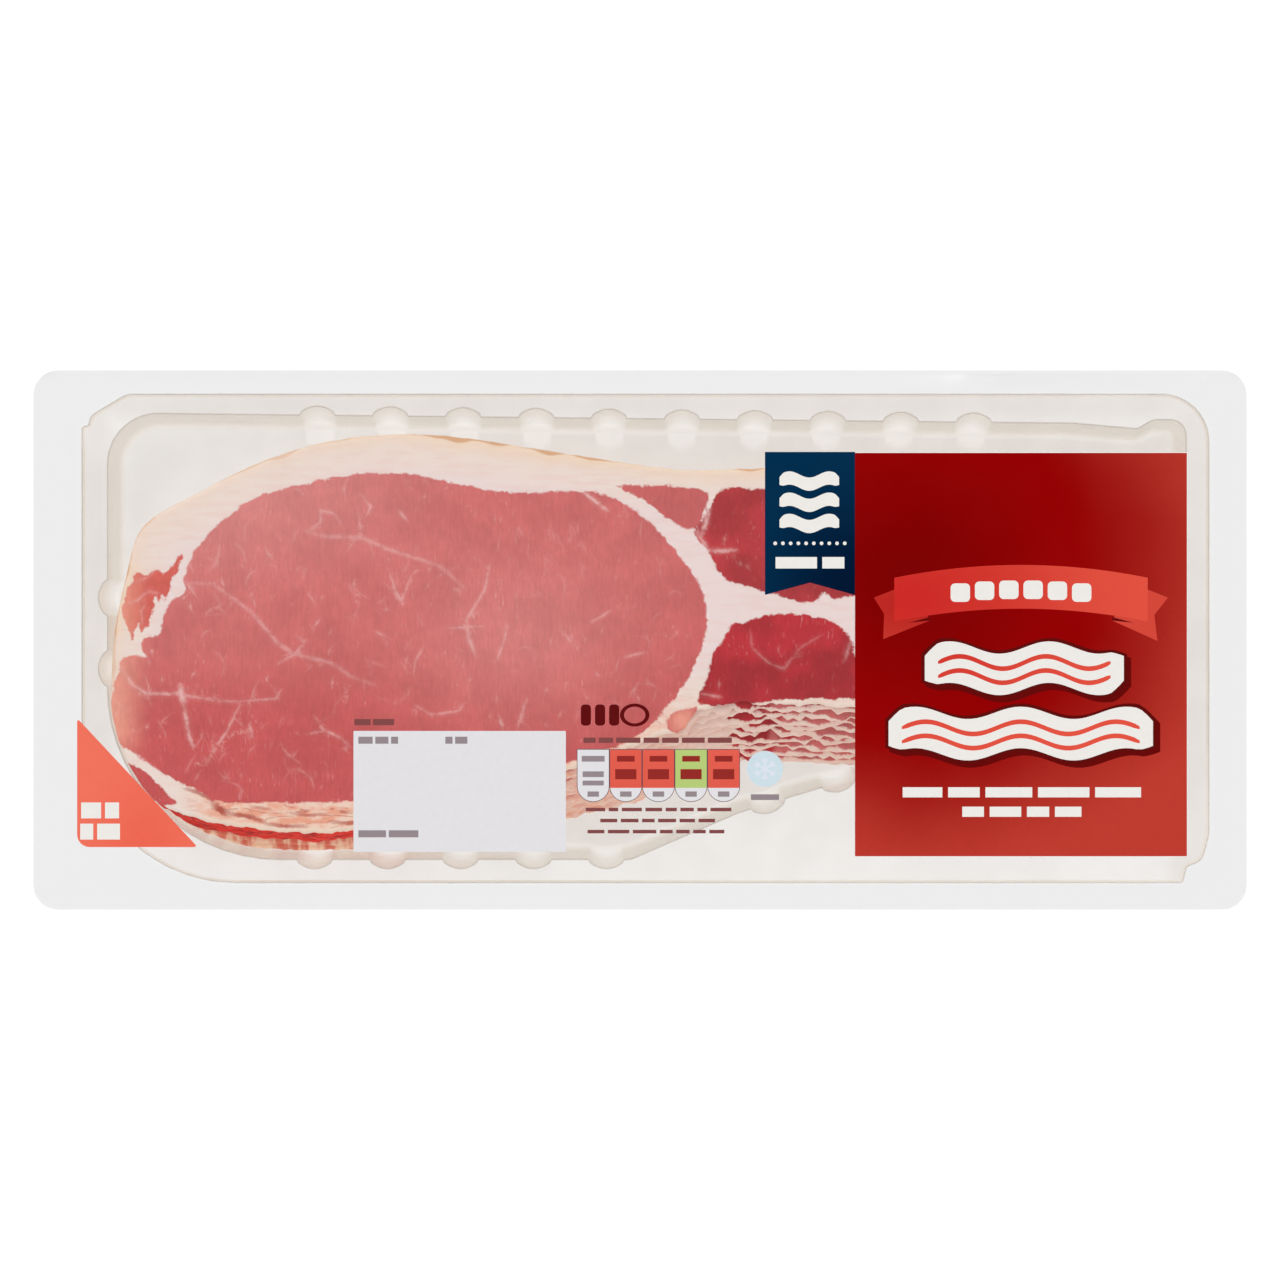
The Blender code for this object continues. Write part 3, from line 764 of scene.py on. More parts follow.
def signedDistance(x, y, loop):
    # Millimetres to the loop, positive inside it
    nearest = np.full(x.shape, 1e9)
    inside = np.zeros(x.shape, bool)
    for (ax, ay), (bx, by) in zip(loop, np.roll(loop, -1, 0)):
        dx, dy = bx - ax, by - ay
        t = np.clip(((x - ax) * dx + (y - ay) * dy) / (dx * dx + dy * dy + 1e-12), 0.0, 1.0)
        nearest = np.minimum(nearest, (x - ax - t * dx) ** 2 + (y - ay - t * dy) ** 2)
        crosses = (ay > y) != (by > y)
        inside ^= crosses & (x < dx * (y - ay) / (dy if abs(dy) > 1e-12 else 1e-12) + ax)
    return np.where(inside, 1.0, -1.0) * np.sqrt(nearest)


def marblingStrokes():
    # Fine branching strokes in the lean, most of them upright
    rng = random.Random(marbling["seed"])
    eye = closedCurve(muscles["eye"][1])
    right = [closedCurve(muscles[name][1]) for name in ("upper", "lower")]
    strokes = []
    while len(strokes) < marbling["strokes"] + marbling["flecks"]:
        x, y = rng.uniform(-119.0, 84.0), rng.uniform(-36.0, 37.0)
        spot = np.array([x]), np.array([y])
        if signedDistance(*spot, eye)[0] < 1.0:
            if rng.random() > marbling["rightShare"] or max(signedDistance(*spot, loop)[0] for loop in right) < 0.8:
                continue
        heading = 0.5 * math.pi + rng.gauss(0.0, marbling["lean"])
        fleck, bold = len(strokes) >= marbling["strokes"], x < marbling["boldLeftOf"]
        length = rng.uniform(*marbling["fleckLength" if fleck else "length"]) * (1.3 if bold and not fleck else 1.0)
        width = rng.uniform(*marbling["width"]) * (1.3 if fleck else 1.0)
        strength = rng.uniform(*marbling["strength"]) * (1.2 if bold else 0.8) * (1.6 if fleck else 1.0)
        points = [(x, y)]
        for _ in range(3):
            heading += rng.gauss(0.0, marbling["bend"])
            x, y = x + math.cos(heading) * length / 3, y + math.sin(heading) * length / 3
            points.append((x, y))
        strokes.append((width, strength, tuple(points)))
        if not fleck and rng.random() < marbling["branch"]:
            turn = heading + rng.choice((-1.0, 1.0)) * rng.uniform(0.6, 1.3)
            start = points[rng.choice((1, 2))]
            reach = length * rng.uniform(0.25, 0.5)
            end = (start[0] + math.cos(turn) * reach, start[1] + math.sin(turn) * reach)
            strokes.append((width * 0.8, strength * 0.8, (start, end)))
    return strokes


def veinFields(x, y, strokes):
    # The strength of the nearest stroke, and the signed distance to its line in stroke widths
    strength, side = np.zeros(x.shape), np.full(x.shape, 9.0)
    search = marbling["search"]
    for width, force, points in strokes:
        count = len(points) - 1
        for i in range(count):
            (ax, ay), (bx, by) = points[i], points[i + 1]
            near = np.nonzero((x > min(ax, bx) - search) & (x < max(ax, bx) + search)
                              & (y > min(ay, by) - search) & (y < max(ay, by) + search))
            if not len(near[0]):
                continue
            dx, dy = bx - ax, by - ay
            px, py = x[near] - ax, y[near] - ay
            t = np.clip((px * dx + py * dy) / (dx * dx + dy * dy + 1e-12), 0.0, 1.0)
            reach = np.hypot(px - t * dx, py - t * dy)
            taper = 1.0 - marbling["taper"] * np.abs(2.0 * (i + t) / count - 1.0) ** 2
            closer = reach / width < np.abs(side[near])
            turn = np.where(dx * py - dy * px < 0.0, -1.0, 1.0)
            side[near] = np.where(closer, turn * reach / width, side[near])
            value = force * taper * (1.0 - smoothStep(reach, *marbling["fade"]))
            strength[near] = np.where(closer, value, strength[near])
    return strength, np.clip(side, -9.0, 9.0)


def frontShift(order, x):
    left = rasher["shiftLeft"][order]
    return left + (rasher["shiftRight"] * order - left) * smoothStep(x, rasher["shiftFrom"], rasher["shiftTo"])


def edgeRuffle(order, share, side):
    if order == 0:
        return 0.0 * share
    rng = random.Random(rasher["ruffleSeed"] + 2 * order + (1 if side > 0.0 else 0))
    total = 0.0
    for waves in rasher["ruffleWaves"]:
        total = total + np.sin(2.0 * math.pi * (waves * share + rng.random())) / waves ** 0.5
    return rasher["ruffle"] * total * np.sin(math.pi * share)


def keepInside(points, wall):
    # Points outside the wall's outline move to the nearest place on it
    gap = signedDistance(points[:, 0], points[:, 1], wall)
    moved = points.copy()
    for i in np.nonzero(gap < 0.0)[0]:
        a, b = wall, np.roll(wall, -1, 0)
        d = b - a
        t = np.clip(((points[i] - a) * d).sum(1) / ((d * d).sum(1) + 1e-12), 0.0, 1.0)
        near = a + d * t[:, None]
        moved[i] = near[np.argmin(((near - points[i]) ** 2).sum(1))]
    return moved


def rasherEdges(order, ribs):
    bottom = rasher["base"] + (rasher["count"] - 1 - order) * (rasher["thickness"] + rasher["gap"])
    depth = max(0.0, tray["shoulder"] - bottom) / (tray["shoulder"] - tray["wall"])
    wall = roundedOutline(pocket, tray["pocketDraft"] * depth + rasher["clearance"])
    wall = np.array([(p.x, p.y) for p in wall])
    edges = []
    share = np.arange(ribs + 1) / ribs
    for side, points in ((1.0, rasher["back"]), (-1.0, rasher["front"])):
        chain = smoothChain(points, ribs, rasher["crowding"])
        x = chain[:, 0]
        torn = 1.0 if order else rasher["tearTop"][0 if side > 0.0 else 1]
        torn = torn * (1.0 + smoothStep(x, 5.0, 25.0)) * np.sin(math.pi * share) ** 0.5
        tears = 0.0
        for size, first, second, depth in rasher["tears"]:
            found = np.array([abs(noise.noise((v / size, first * side, second * order))) for v in x])
            tears = tears + (rasher["tearLevel"] - found) * depth * torn
        chain[:, 1] += side * (edgeRuffle(order, share, side) + tears) - frontShift(order, x)
        edges.append(keepInside(chain, wall))
    return edges[0], edges[1], bottom


def stackWave(x, y):
    reachX, reachY = rasher["waveReach"]
    return rasher["wave"] * np.sin(x / reachX + rasher["waveStart"]) * np.cos(y / reachY)


def bumpField(x, y, size, seed):
    return np.array([noise.noise((a / size, b / size, seed)) for a, b in zip(x.ravel(), y.ravel())]).reshape(x.shape)


strokes = list(seams) + marblingStrokes()
muscleLoops = [(tone, closedCurve(points)) for tone, points in muscles.values()]


# Where each field rises from 0 to 1: along x, across from the front to the back, or in from the edge
ramps = {
    "rind": (-16.0, -6.0), "rindAlong": (-85.0, -50.0), "flapAlong": (-108.0, -104.0), "flapAcross": (7.0, 10.0),
    "right": (15.0, 24.0), "left": (-62.0, -40.0), "middle": (-19.0, -8.0), "backHalf": (0.0, 6.0),
    "bellyAcross": (-30.0, -8.0), "bellyIn": (5.0, 9.0), "bellyAlong": (-106.0, -93.0),
    "gapAcross": (-31.0, -24.0), "gapIn": (6.0, 8.0), "warmAlong": (-119.5, -110.0), "warmAcross": (16.0, 26.0),
}
# Paler lean: share, then its rise across and its fall along x
blooms = ((0.30, (-26.0, 30.0), None), (0.30, (6.0, 34.0), (-70.0, -25.0)), (0.24, (-22.0, 0.0), (-95.0, -45.0)))
lipLook = {"width": 0.78, "left": 0.2, "middle": 2.4, "jag": 0.8, "jagSize": 2.4, "depth": 5.5, "tone": 0.30}
# Below the top rasher: share of the veins, how pale the lean is painted to lift the stack's shade, and the rasher from
# which the belt takes the gap's place
lowerLook = {"vein": 0.4, "paleAndGlare": 0.7, "beltFrom": 5}


def rise(value, name):
    return smoothStep(value, *ramps[name])


def fall(value, name):
    return 1.0 - rise(value, name)


def hill(x, y, middle, reachX, reachY):
    return np.exp(-((x - middle[0]) / reachX) ** 2 - ((y - middle[1]) / reachY) ** 2)


def meatFields(x, y, order, edge):
    # What the meat's colour is worked out from, at every point
    localY = y + frontShift(order, x)
    lean, tone = np.full(x.shape, -1e9), np.zeros(x.shape)
    for value, loop in muscleLoops:
        inside = signedDistance(x, localY, loop)
        tone = np.where(inside > lean, value, tone)
        lean = np.maximum(lean, inside)
    skin = rise(localY, "rind") * (0.45 + 0.55 * rise(x, "rindAlong"))
    skin = np.maximum(skin, fall(x, "flapAlong") * fall(np.abs(localY - 9.0), "flapAcross"))
    belly = fall(localY, "bellyAcross") * fall(edge, "bellyIn") * rise(x, "bellyAlong")
    warm = fall(x, "warmAlong") * fall(np.abs(localY + 4.0), "warmAcross")
    warm = np.maximum(warm, hill(x, localY, (9.8, -18.4), 3.5, 3.5))
    # painted reflection: a pale patch over the middle of the eye stands for the film's glare; the listed rises after
    # it add paler lean in broad bands
    paleAndGlare = 0.52 * hill(x, localY, (-28.0, -1.0), 30.0, 20.0)
    for share, across, along in blooms:
        paleAndGlare += share * smoothStep(localY, *across) * (1.0 - smoothStep(x, *along) if along else 1.0)
    vein, side = veinFields(x, localY, strokes)
    slit, slitSide = veinFields(x, localY, slits)
    gap, belt = np.zeros(x.shape), np.zeros(x.shape)
    if order:  # the cut edge of the belly side shows a light lip with lean behind it
        look, right, front = lipLook, rise(x, "right"), fall(y, "backHalf")
        lip = look["width"] + look["left"] * (1.0 - right) + look["middle"] * rise(x, "middle") * (1.0 - right)
        lip = lip + look["jag"] * bumpField(x, 0.3 * y, look["jagSize"], 11.0 + 5.0 * order)
        lean = np.minimum(lean, edge - lip + 20.0 * (1.0 - front))
        strip = np.where(front > 0.5, np.minimum(edge - lip, look["depth"] - edge), -9.0)
        tone = np.where(strip > lean, look["tone"] * right, tone)
        lean = np.maximum(lean, strip)
        low = fall(x, "left") * fall(localY, "gapAcross") * fall(edge, "gapIn")
        gap, belt = (low, belt) if order < lowerLook["beltFrom"] else (gap, low)
        # below the top rasher the lean is painted paler all over, painted light that lifts the shade deep in the stack
        vein, paleAndGlare = vein * lowerLook["vein"], 0.0 * x + lowerLook["paleAndGlare"]
    return {"lean": lean, "tone": tone, "vein": vein, "side": side, "warm": warm, "paleAndGlare": np.minimum(paleAndGlare, 1.0),
            "edge": edge, "belly": belly, "gap": gap, "belt": belt, "skin": skin,
            "deep": 0.0 * x + order / (rasher["count"] - 1.0), "slit": slit, "slitSide": slitSide}


def rasherMesh(order, ribCount, steps, underSteps):
    back, front, bottom = rasherEdges(order, ribCount)
    t = np.arange(steps + 1) / steps
    crowd = 0.85 if order else 0.12
    share = ((1.0 - crowd) * t + crowd * (0.5 - 0.5 * np.cos(math.pi * t)))[None, :, None]
    grid = back[:, None, :] * (1.0 - share) + front[:, None, :] * share
    x, y = grid[..., 0], grid[..., 1]
    outline = np.concatenate([back[::-1][::2], front[1:-1][::2]])
    edge = np.abs(signedDistance(x, y, outline))
    edge[:, 0] = edge[:, -1] = edge[0] = edge[-1] = 0.0
    fields = meatFields(x, y, order, edge)
    nearEdge = 1.0 - np.clip(edge / rasher["edgeRound"], 0.0, 1.0)
    drop = rasher["edgeDrop"] * rasher["thickness"] * (1.0 - np.sqrt(1.0 - nearEdge ** 2 * 0.999))
    swell = sum(height * bumpField(x, y, size, seed + order) for height, size, seed in rasher["swells"])
    swell += rasher["fatRise"] * (1.0 - smoothStep(fields["lean"], -0.6, 0.5))
    wave = stackWave(x, y)
    if order:
        lips = bumpField(x, 0.2 * y, 2.6, 31.0 + order) * (1.0 - smoothStep(edge, 0.3, 2.5))
        wave = wave + rasher["lipWave"] * lips
    top = bottom + rasher["thickness"] + wave - drop + swell * (1.0 - nearEdge)
    under = bottom + wave + drop
    rows, columns = ribCount + 1, steps + 1
    picked = sorted({0, steps, *[round(k * steps / underSteps) for k in range(underSteps + 1)]})
    points = [np.stack([x, y, top], -1).reshape(-1, 3)]
    points.append(np.stack([x[:, picked], y[:, picked], under[:, picked]], -1).reshape(-1, 3))
    base = rows * columns
    faces = gridFaces(0, rows, columns, False) + gridFaces(base, rows, len(picked), True)
    faces += sideFaces(rows, columns, base, len(picked))
    mesh = bpy.data.meshes.new("rasher")
    mesh.from_pydata((np.concatenate(points) * mm).tolist(), [], faces)
    for name, values in fields.items():
        both = np.concatenate([values.ravel(), values[:, picked].ravel()])
        mesh.attributes.new(name, "FLOAT", "POINT").data.foreach_set("value", both.astype(np.float32))
    bm = bmesh.new()
    bm.from_mesh(mesh)
    bmesh.ops.remove_doubles(bm, verts=bm.verts, dist=rasher["merge"] * mm)
    bm.to_mesh(mesh)
    bm.free()
    mesh.shade_smooth()
    return mesh


def gridFaces(base, rows, columns, flipped):
    i, j = np.meshgrid(np.arange(rows - 1), np.arange(columns - 1), indexing="ij")
    first = base + i * columns + j
    quads = np.stack([first, first + 1, first + columns + 1, first + columns], -1).reshape(-1, 4)
    return (quads[:, ::-1] if flipped else quads).tolist()


def sideFaces(rows, columns, base, under):
    i = np.arange(rows - 1)
    back = np.stack([i * columns, (i + 1) * columns, base + (i + 1) * under, base + i * under], -1)
    top, low = i * columns + columns - 1, base + i * under + under - 1
    front = np.stack([top, low, low + under, top + columns], -1)
    return back.tolist() + front.tolist()


# Meat colours, as the photograph's middle tones

meatLook = {
    "pale": (210, 132, 129),
    "lean": (191, 82, 82),
    "dark": (168, 38, 46),
    "warm": (228, 154, 134),
    "flap": (205, 89, 77),
    "gapLight": (226, 50, 38),
    "gapDark": (166, 32, 28),
    "fat": (229, 212, 203),
    "seam": (228, 210, 207),
    "fatEdge": (232, 204, 175),
    "fatPink": (226, 188, 178),
    "rind": (206, 156, 116),
    "vein": (226, 184, 180),
    "belly": (234, 206, 184),
    "torn": (226, 156, 130),
    "fissure": (166, 62, 50),
    "belt": (244, 204, 176),
    "streak": (216, 96, 74),
    "glow": 0.14,  # painted glow: the meat lit from within to lift its shade, standing in for light let through it, more of it low in the stack
    "glowDeep": 0.30,
}


def meatMaterial(name, stacked):
    # The top rasher shows its whole face, the ones below only their cut edges
    material, tree = newMaterial(name)
    look = {key: paint(*colour) for key, colour in meatLook.items() if not key.startswith("glow")}
    spot = place(tree)
    lean, tone, vein, side, warm = readings(tree, "lean", "tone", "vein", "side", "warm")
    paleAndGlare, edge, skin, belly = readings(tree, "paleAndGlare", "edge", "skin", "belly")
    fine = grain(tree, spot, 0.7, 2.0, 0.6)
    patches = grain(tree, spot, 2.4, 2.0, 0.6)
    broad = grain(tree, spot, 9.0, 1.0)
    fibres = grain(tree, place(tree, (1.0, 0.14, 1.0)), 0.45, 2.0, 0.65)
    layers = grain(tree, place(tree, (0.22, 1.3, 1.0)), 1.7, 2.0, 0.6)
    rags = grain(tree, place(tree, (0.40, 0.9, 1.0)), 1.5, 2.0, 0.6)
    ragged = plus(tree, plus(tree, lean, jitter(tree, fine, 0.9)), jitter(tree, patches, 1.6))
    # the lean turns pale where the painted glare and the paler bands lie
    isLean = ease(tree, ragged, -0.24, 0.30)
    colour = blendColour(tree, paleAndGlare, look["lean"], look["pale"])
    for share, key in ((tone, "dark"), (times(tree, tone, -1.7), "flap"), (times(tree, warm, 0.85), "warm")):
        colour = blendColour(tree, share, colour, look[key])
    shade = plus(tree, ease(tree, broad, 0.30, 0.70, 0.95, 1.05),
                 times(tree, tone, ease(tree, broad, 0.35, 0.65, -0.10, 0.14)))
    shade = times(tree, shade, ease(tree, fibres, 0.25, 0.75, 0.95, 1.06), ease(tree, patches, 0.30, 0.70, 0.97, 1.03))
    colour = blendColour(tree, 1.0, colour, shade, "MULTIPLY")
    # seams and marbling, and on the top face short upright flecks between them
    wander = jitter(tree, fine, 1.6)
    across = absolute(tree, plus(tree, side, wander))
    line = plus(tree, ease(tree, across, 0.15, 1.15, 0.75, 0.0), ease(tree, across, 0.0, 3.5, 0.22, 0.0))
    line = times(tree, line, vein, ease(tree, patches, 0.32, 0.58, 0.40, 1.0))
    if not stacked:
        flecks = grain(tree, place(tree, (1.0, 0.3, 1.0)), 0.65, 2.0, 0.6)
        flecks = times(tree, ease(tree, flecks, 0.60, 0.82), ease(tree, broad, 0.40, 0.65, 0.10, 0.38))
        line = calc(tree, "MAXIMUM", line, flecks)
    colour = blendColour(tree, line, colour, look["vein"])
    # fat: a peach rim and a tan rind at the back, and pink torn layers on the belly side
    near = plus(tree, edge, times(tree, broad, 4.0))
    rim = plus(tree, edge, jitter(tree, broad, 4.0))
    pink = times(tree, belly, ease(tree, rags, 0.38, 0.62, 0.20, 0.95))
    if not stacked:
        pink = times(tree, pink, ease(tree, edge, 0.6, 1.8))
    fat = look["fat"]
    for share, key in (
        (ease(tree, edge, 5.0, 11.0), "seam"),
        (ease(tree, layers, 0.40, 0.68, 0.0, 0.28), "fatPink"),
        (times(tree, ease(tree, near, 1.6, 6.5, 0.7, 0.0), skin), "fatEdge"),
        (times(tree, ease(tree, rim, -0.1, 0.45, 0.9, 0.0), skin), "rind"),
        (times(tree, belly, 0.75), "belly"),
        (pink, "torn"),
    ):
        fat = blendColour(tree, share, fat, look[key])
    height = plus(tree, times(tree, fine, 0.5), times(tree, fibres, 0.5))
    glow = meatLook["glow"]
    if stacked:
        fat = blendColour(tree, ease(tree, patches, 0.35, 0.60, 0.10, 0.60), fat, look["fatPink"])
        colour = blendColour(tree, isLean, fat, colour)
        # the open gap at the lower left is red, and the belt below it cream with upright red streaks
        streaks = grain(tree, place(tree, (1.0, 0.22, 0.22)), 2.6, 2.0, 0.6)
        opened = blendColour(tree, ease(tree, rags, 0.44, 0.72), look["gapLight"], look["gapDark"])
        strap = blendColour(tree, ease(tree, streaks, 0.40, 0.60, 0.0, 0.9), look["belt"], look["streak"])
        colour = blendColour(tree, reading(tree, "gap"), colour, opened)
        colour = blendColour(tree, reading(tree, "belt"), colour, strap)
        # the painted glow grows down the stack, where the shade is deepest
        glow = calc(tree, "MULTIPLY_ADD", reading(tree, "deep"), meatLook["glowDeep"] - glow, glow)
    else:
        # fine cracks and the laid out slits in the torn side
        cracks = grain(tree, place(tree, (0.16, 0.9, 1.0)), 1.8, 1.0, 0.5)
        torn = times(tree, belly, ease(tree, absolute(tree, minus(tree, cracks, 0.5)), 0.004, 0.026, 0.54, 0.0),
                     ease(tree, edge, 0.7, 1.3), ease(tree, patches, 0.42, 0.54))
        split = ease(tree, absolute(tree, plus(tree, reading(tree, "slitSide"), wander)), 0.4, 1.3, 1.0, 0.0)
        torn = calc(tree, "MAXIMUM", torn, times(tree, split, reading(tree, "slit")))
        colour = blendColour(tree, isLean, blendColour(tree, torn, fat, look["fissure"]), colour)
        height = minus(tree, height, times(tree, torn, 2.0))
    shader = solidShader(tree, colour, ease(tree, fine, 0.2, 0.8, 0.42, 0.62), relief(tree, height, 0.06),
                         Specular_IOR_Level=0.25)
    # painted glow: the meat gives out its own colour as light, lifting its shade
    material.cycles.emission_sampling = "NONE"
    tree.links.new(colour, shader.node.inputs["Emission Color"])
    feed(tree, shader.node.inputs["Emission Strength"], glow)
    finishMaterial(tree, shader)
    return material


topMeat, stackMeat = meatMaterial("cured bacon face", False), meatMaterial("cured bacon edges", True)
detail = {"top": (470, 176, 8), "middle": (300, 26, 6), "last": (300, 80, 80)}  # ribs, steps across, steps below
for order in range(rasher["count"]):
    kind = "top" if order == 0 else "last" if order == rasher["count"] - 1 else "middle"
    node = "rasher_%02d" % (order + 1)
    addPiece(node + "_slice", rasherMesh(order, *detail[kind]), stackMeat if order else topMeat, "bacon", node)
    print(node, "done")


# Lid film and everything printed on it follow one gently sagging surface

film = {"top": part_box("lid_film")[1].z / mm, "thickness": 0.1, "sag": 1.0, "reach": 16.0, "ripple": 0.05}


def filmHeight(x, y):
    left, bottom = tray["cavity"][0][:2]
    right, top = tray["cavity"][2][:2]
    inside = np.minimum(np.minimum(x - left, right - x), np.minimum(y - bottom, top - y))
    slack = smoothStep(inside, 0.0, film["reach"])
    ripple = np.sin(x / 11.0 + 0.2 * y) * np.sin(y / 8.0 + 1.0)
    return film["top"] - slack * (film["sag"] + film["ripple"] * (ripple - 1.0))


def sheetFromFaces(bm, level, thickness):
    # Lays flat faces on the film, level millimetres above it, and gives them a thickness
    for vert in bm.verts:
        vert.co.z += (filmHeight(vert.co.x / mm, vert.co.y / mm) + level) * mm
    bmesh.ops.recalc_face_normals(bm, faces=bm.faces)
    faceUp(bm.faces)
    lower = bmesh.ops.duplicate(bm, geom=bm.faces[:])
    twins = lower["vert_map"]
    border = [edge for edge in bm.edges if edge.is_boundary and edge.verts[0] in twins]
    for face in [item for item in lower["geom"] if isinstance(item, bmesh.types.BMFace)]:
        face.normal_flip()
        for vert in face.verts:
            vert.tag = True
    for vert in bm.verts:
        if vert.tag:
            vert.co.z -= thickness * mm
    for edge in border:
        if not edge.verts[0].tag:
            loop = edge.link_loops[0]
            a, b = loop.vert, loop.link_loop_next.vert
            bm.faces.new((b, a, twins[a], twins[b]))
    return smoothFaces(meshFrom(bm, "sheet"))


def cutToGrid(bm, step):
    # Straight cuts along X and Y, so that a large flat field can follow the film
    for axis in (0, 1):
        values = [vert.co[axis] for vert in bm.verts]
        spot = math.ceil(min(values) / mm / step) * step
        while spot * mm < max(values):
            normal = (1.0, 0.0, 0.0) if axis == 0 else (0.0, 1.0, 0.0)
            geometry = bm.verts[:] + bm.edges[:] + bm.faces[:]
            bmesh.ops.bisect_plane(bm, geom=geometry, plane_co=[spot * mm * c for c in normal], plane_no=normal)
            spot += step


def layPrint(name, bm, layer, material, slot, *nodes):
    cutToGrid(bm, ink["grid"])
    mesh = sheetFromFaces(bm, ink["first"] + layer * ink["step"], ink["thickness"])
    piece = addPiece(name, mesh, material, slot, *nodes)
    piece.visible_shadow = piece.visible_diffuse = False  # the print lies on the meat and throws no shadow there


def printSheet(name, regions, layer, material, slot, *nodes):
    # Each region is a list of loops, the first its outline and the rest its holes
    bm = bmesh.new()
    for loops in regions:
        edges = []
        for loop in loops:
            edges += addLoop(bm, loop, 0.0)[1]
        fillFlat(bm, edges)
    layPrint(name, bm, layer, material, slot, *nodes)


def printMesh(name, meshes, layer, material, slot):
    # Meshes from the trees, each with the place of its middle in millimetres
    bm = bmesh.new()
    for mesh, (x, y) in meshes:
        start = len(bm.verts)
        bm.from_mesh(mesh)
        bm.verts.ensure_lookup_table()
        for vert in bm.verts[start:]:
            vert.co.x += x * mm
            vert.co.y += y * mm
    layPrint(name, bm, layer, material, slot)


def filmMesh():
    # The seal on the flange and the window over the cavity are one sheet
    bm = bmesh.new()
    sealed = bm.faces.layers.float.new("sealed")
    rimEdges = addLoop(bm, roundedOutline(tray["cavity"], -tray["rimRound"]), 0.0)[1]
    for face in fillFlat(bm, addLoop(bm, roundedOutline(flange), 0.0)[1] + rimEdges):
        face[sealed] = 1.0
    fillFlat(bm, rimEdges)
    cutToGrid(bm, 4.0)
    return sheetFromFaces(bm, 0.0, film["thickness"])


filmLook = {"veil": (0.996, 0.996, 0.995, 1.0), "haze": 0.004, "sealHaze": 0.90, "frost": (252, 252, 252),
            "shine": 0.07, "bump": 0.04}


def filmMaterial():
    look = filmLook
    material, tree = newMaterial("clear film")
    cloud = grain(tree, place(tree), 24.0, 1.0)
    sealed = reading(tree, "sealed")
    haze = ease(tree, sealed, 0.0, 1.0, look["haze"], look["sealHaze"])
    return finishClear(material, look["veil"], haze, paint(*look["frost"]), look, cloud, sealed)


addPiece("film_sheet", filmMesh(), filmMaterial(), "film", "lid_film")
print("film done")

ink = {"first": 0.04, "step": 0.03, "thickness": 0.02, "grid": 5.0, "rough": 0.22}


def inkMaterial(name, *colours, spread=None):
    # Printed ink: a fine mottle on one colour, or on a soft blend that goes through several, the blend being painted
    # reflection of the film's glare over the ink
    material, tree = newMaterial(name)
    spot = place(tree)
    mottle = grain(tree, spot, 1.2, 3.0)
    base = paint(*colours[0])
    share = glareAround(tree, *spread) if spread else None
    for step, colour in enumerate(colours[1:]):
        spans = len(colours) - 1
        base = blendColour(tree, ease(tree, share, step / spans, (step + 1.0) / spans), base, paint(*colour))
    base = blendColour(tree, 1.0, base, ease(tree, mottle, 0.3, 0.7, 0.99, 1.01), "MULTIPLY")
    rough = ease(tree, grain(tree, spot, 14.0), 0.3, 0.7, ink["rough"] - 0.04, ink["rough"] + 0.04)
    finishMaterial(tree, solidShader(tree, base, rough, relief(tree, mottle, 0.002), Specular_IOR_Level=0.12))
    return material


def glareAround(tree, x, y, reachX, reachY):
    # Painted reflection: a share that grows from a dark middle at (x, y) outwards, where the film's glare lightens the
    # print
    spot = place(tree)
    where = axes(tree, spot)
    across = calc(tree, "DIVIDE", minus(tree, where[0], x), reachX)
    along = calc(tree, "DIVIDE", minus(tree, where[1], y), reachY)
    square = plus(tree, times(tree, across, across), times(tree, along, along))
    return plus(tree, calc(tree, "SQRT", square), jitter(tree, grain(tree, spot, 30.0), 0.2))


# the red, navy, coral, banner and banner tail inks grow lighter away from a dark middle: painted reflection of the
# film's glare over their own colours
inks = {
    "red": inkMaterial("red ink", (124, 0, 0), (149, 0, 2), (192, 60, 48), spread=(62.0, 14.0, 80.0, 71.0)),
    "navy": inkMaterial("navy ink", (0, 22, 50), (1, 45, 77), spread=(48.0, 12.0, 26.0, 30.0)),
    "white": inkMaterial("white ink", (229, 227, 230)),
    "coral": inkMaterial("coral ink", (240, 104, 82), (243, 116, 94), spread=(-112.0, -46.0, 16.0, 24.0)),
    "cream": inkMaterial("cream ink", (240, 237, 232)),
    "banner": inkMaterial("banner ink", (206, 42, 38), (230, 84, 66), spread=(62.0, 10.0, 62.0, 40.0)),
    "bannerTail": inkMaterial("banner tail ink", (188, 38, 34), (214, 72, 58), spread=(62.0, 8.0, 50.0, 20.0)),
    "outline": inkMaterial("outline ink", (96, 12, 10)),
    "shadow": inkMaterial("shadow ink", (104, 8, 8)),
    "maroon": inkMaterial("maroon ink", (96, 14, 16)),
    "brown": inkMaterial("fine print ink", (132, 74, 74)),
    "greyText": inkMaterial("grey print ink", (150, 138, 142)),
    "panelLine": inkMaterial("panel line ink", (100, 72, 82)),
    "signalRed": inkMaterial("signal red ink", (228, 94, 78)),
    "signalGreen": inkMaterial("signal green ink", (184, 206, 122)),
    "signalText": inkMaterial("signal text ink", (150, 44, 40)),
    "ice": inkMaterial("ice ink", (208, 225, 233)),
    "frost": inkMaterial("frost ink", (224, 230, 243)),
}


def bar(left, right, bottom, top, radius=0.3):
    return [[tuple(p) for p in roundedOutline(boxCorners(left, right, bottom, top, radius), steps=4)]]


# Large fields of print

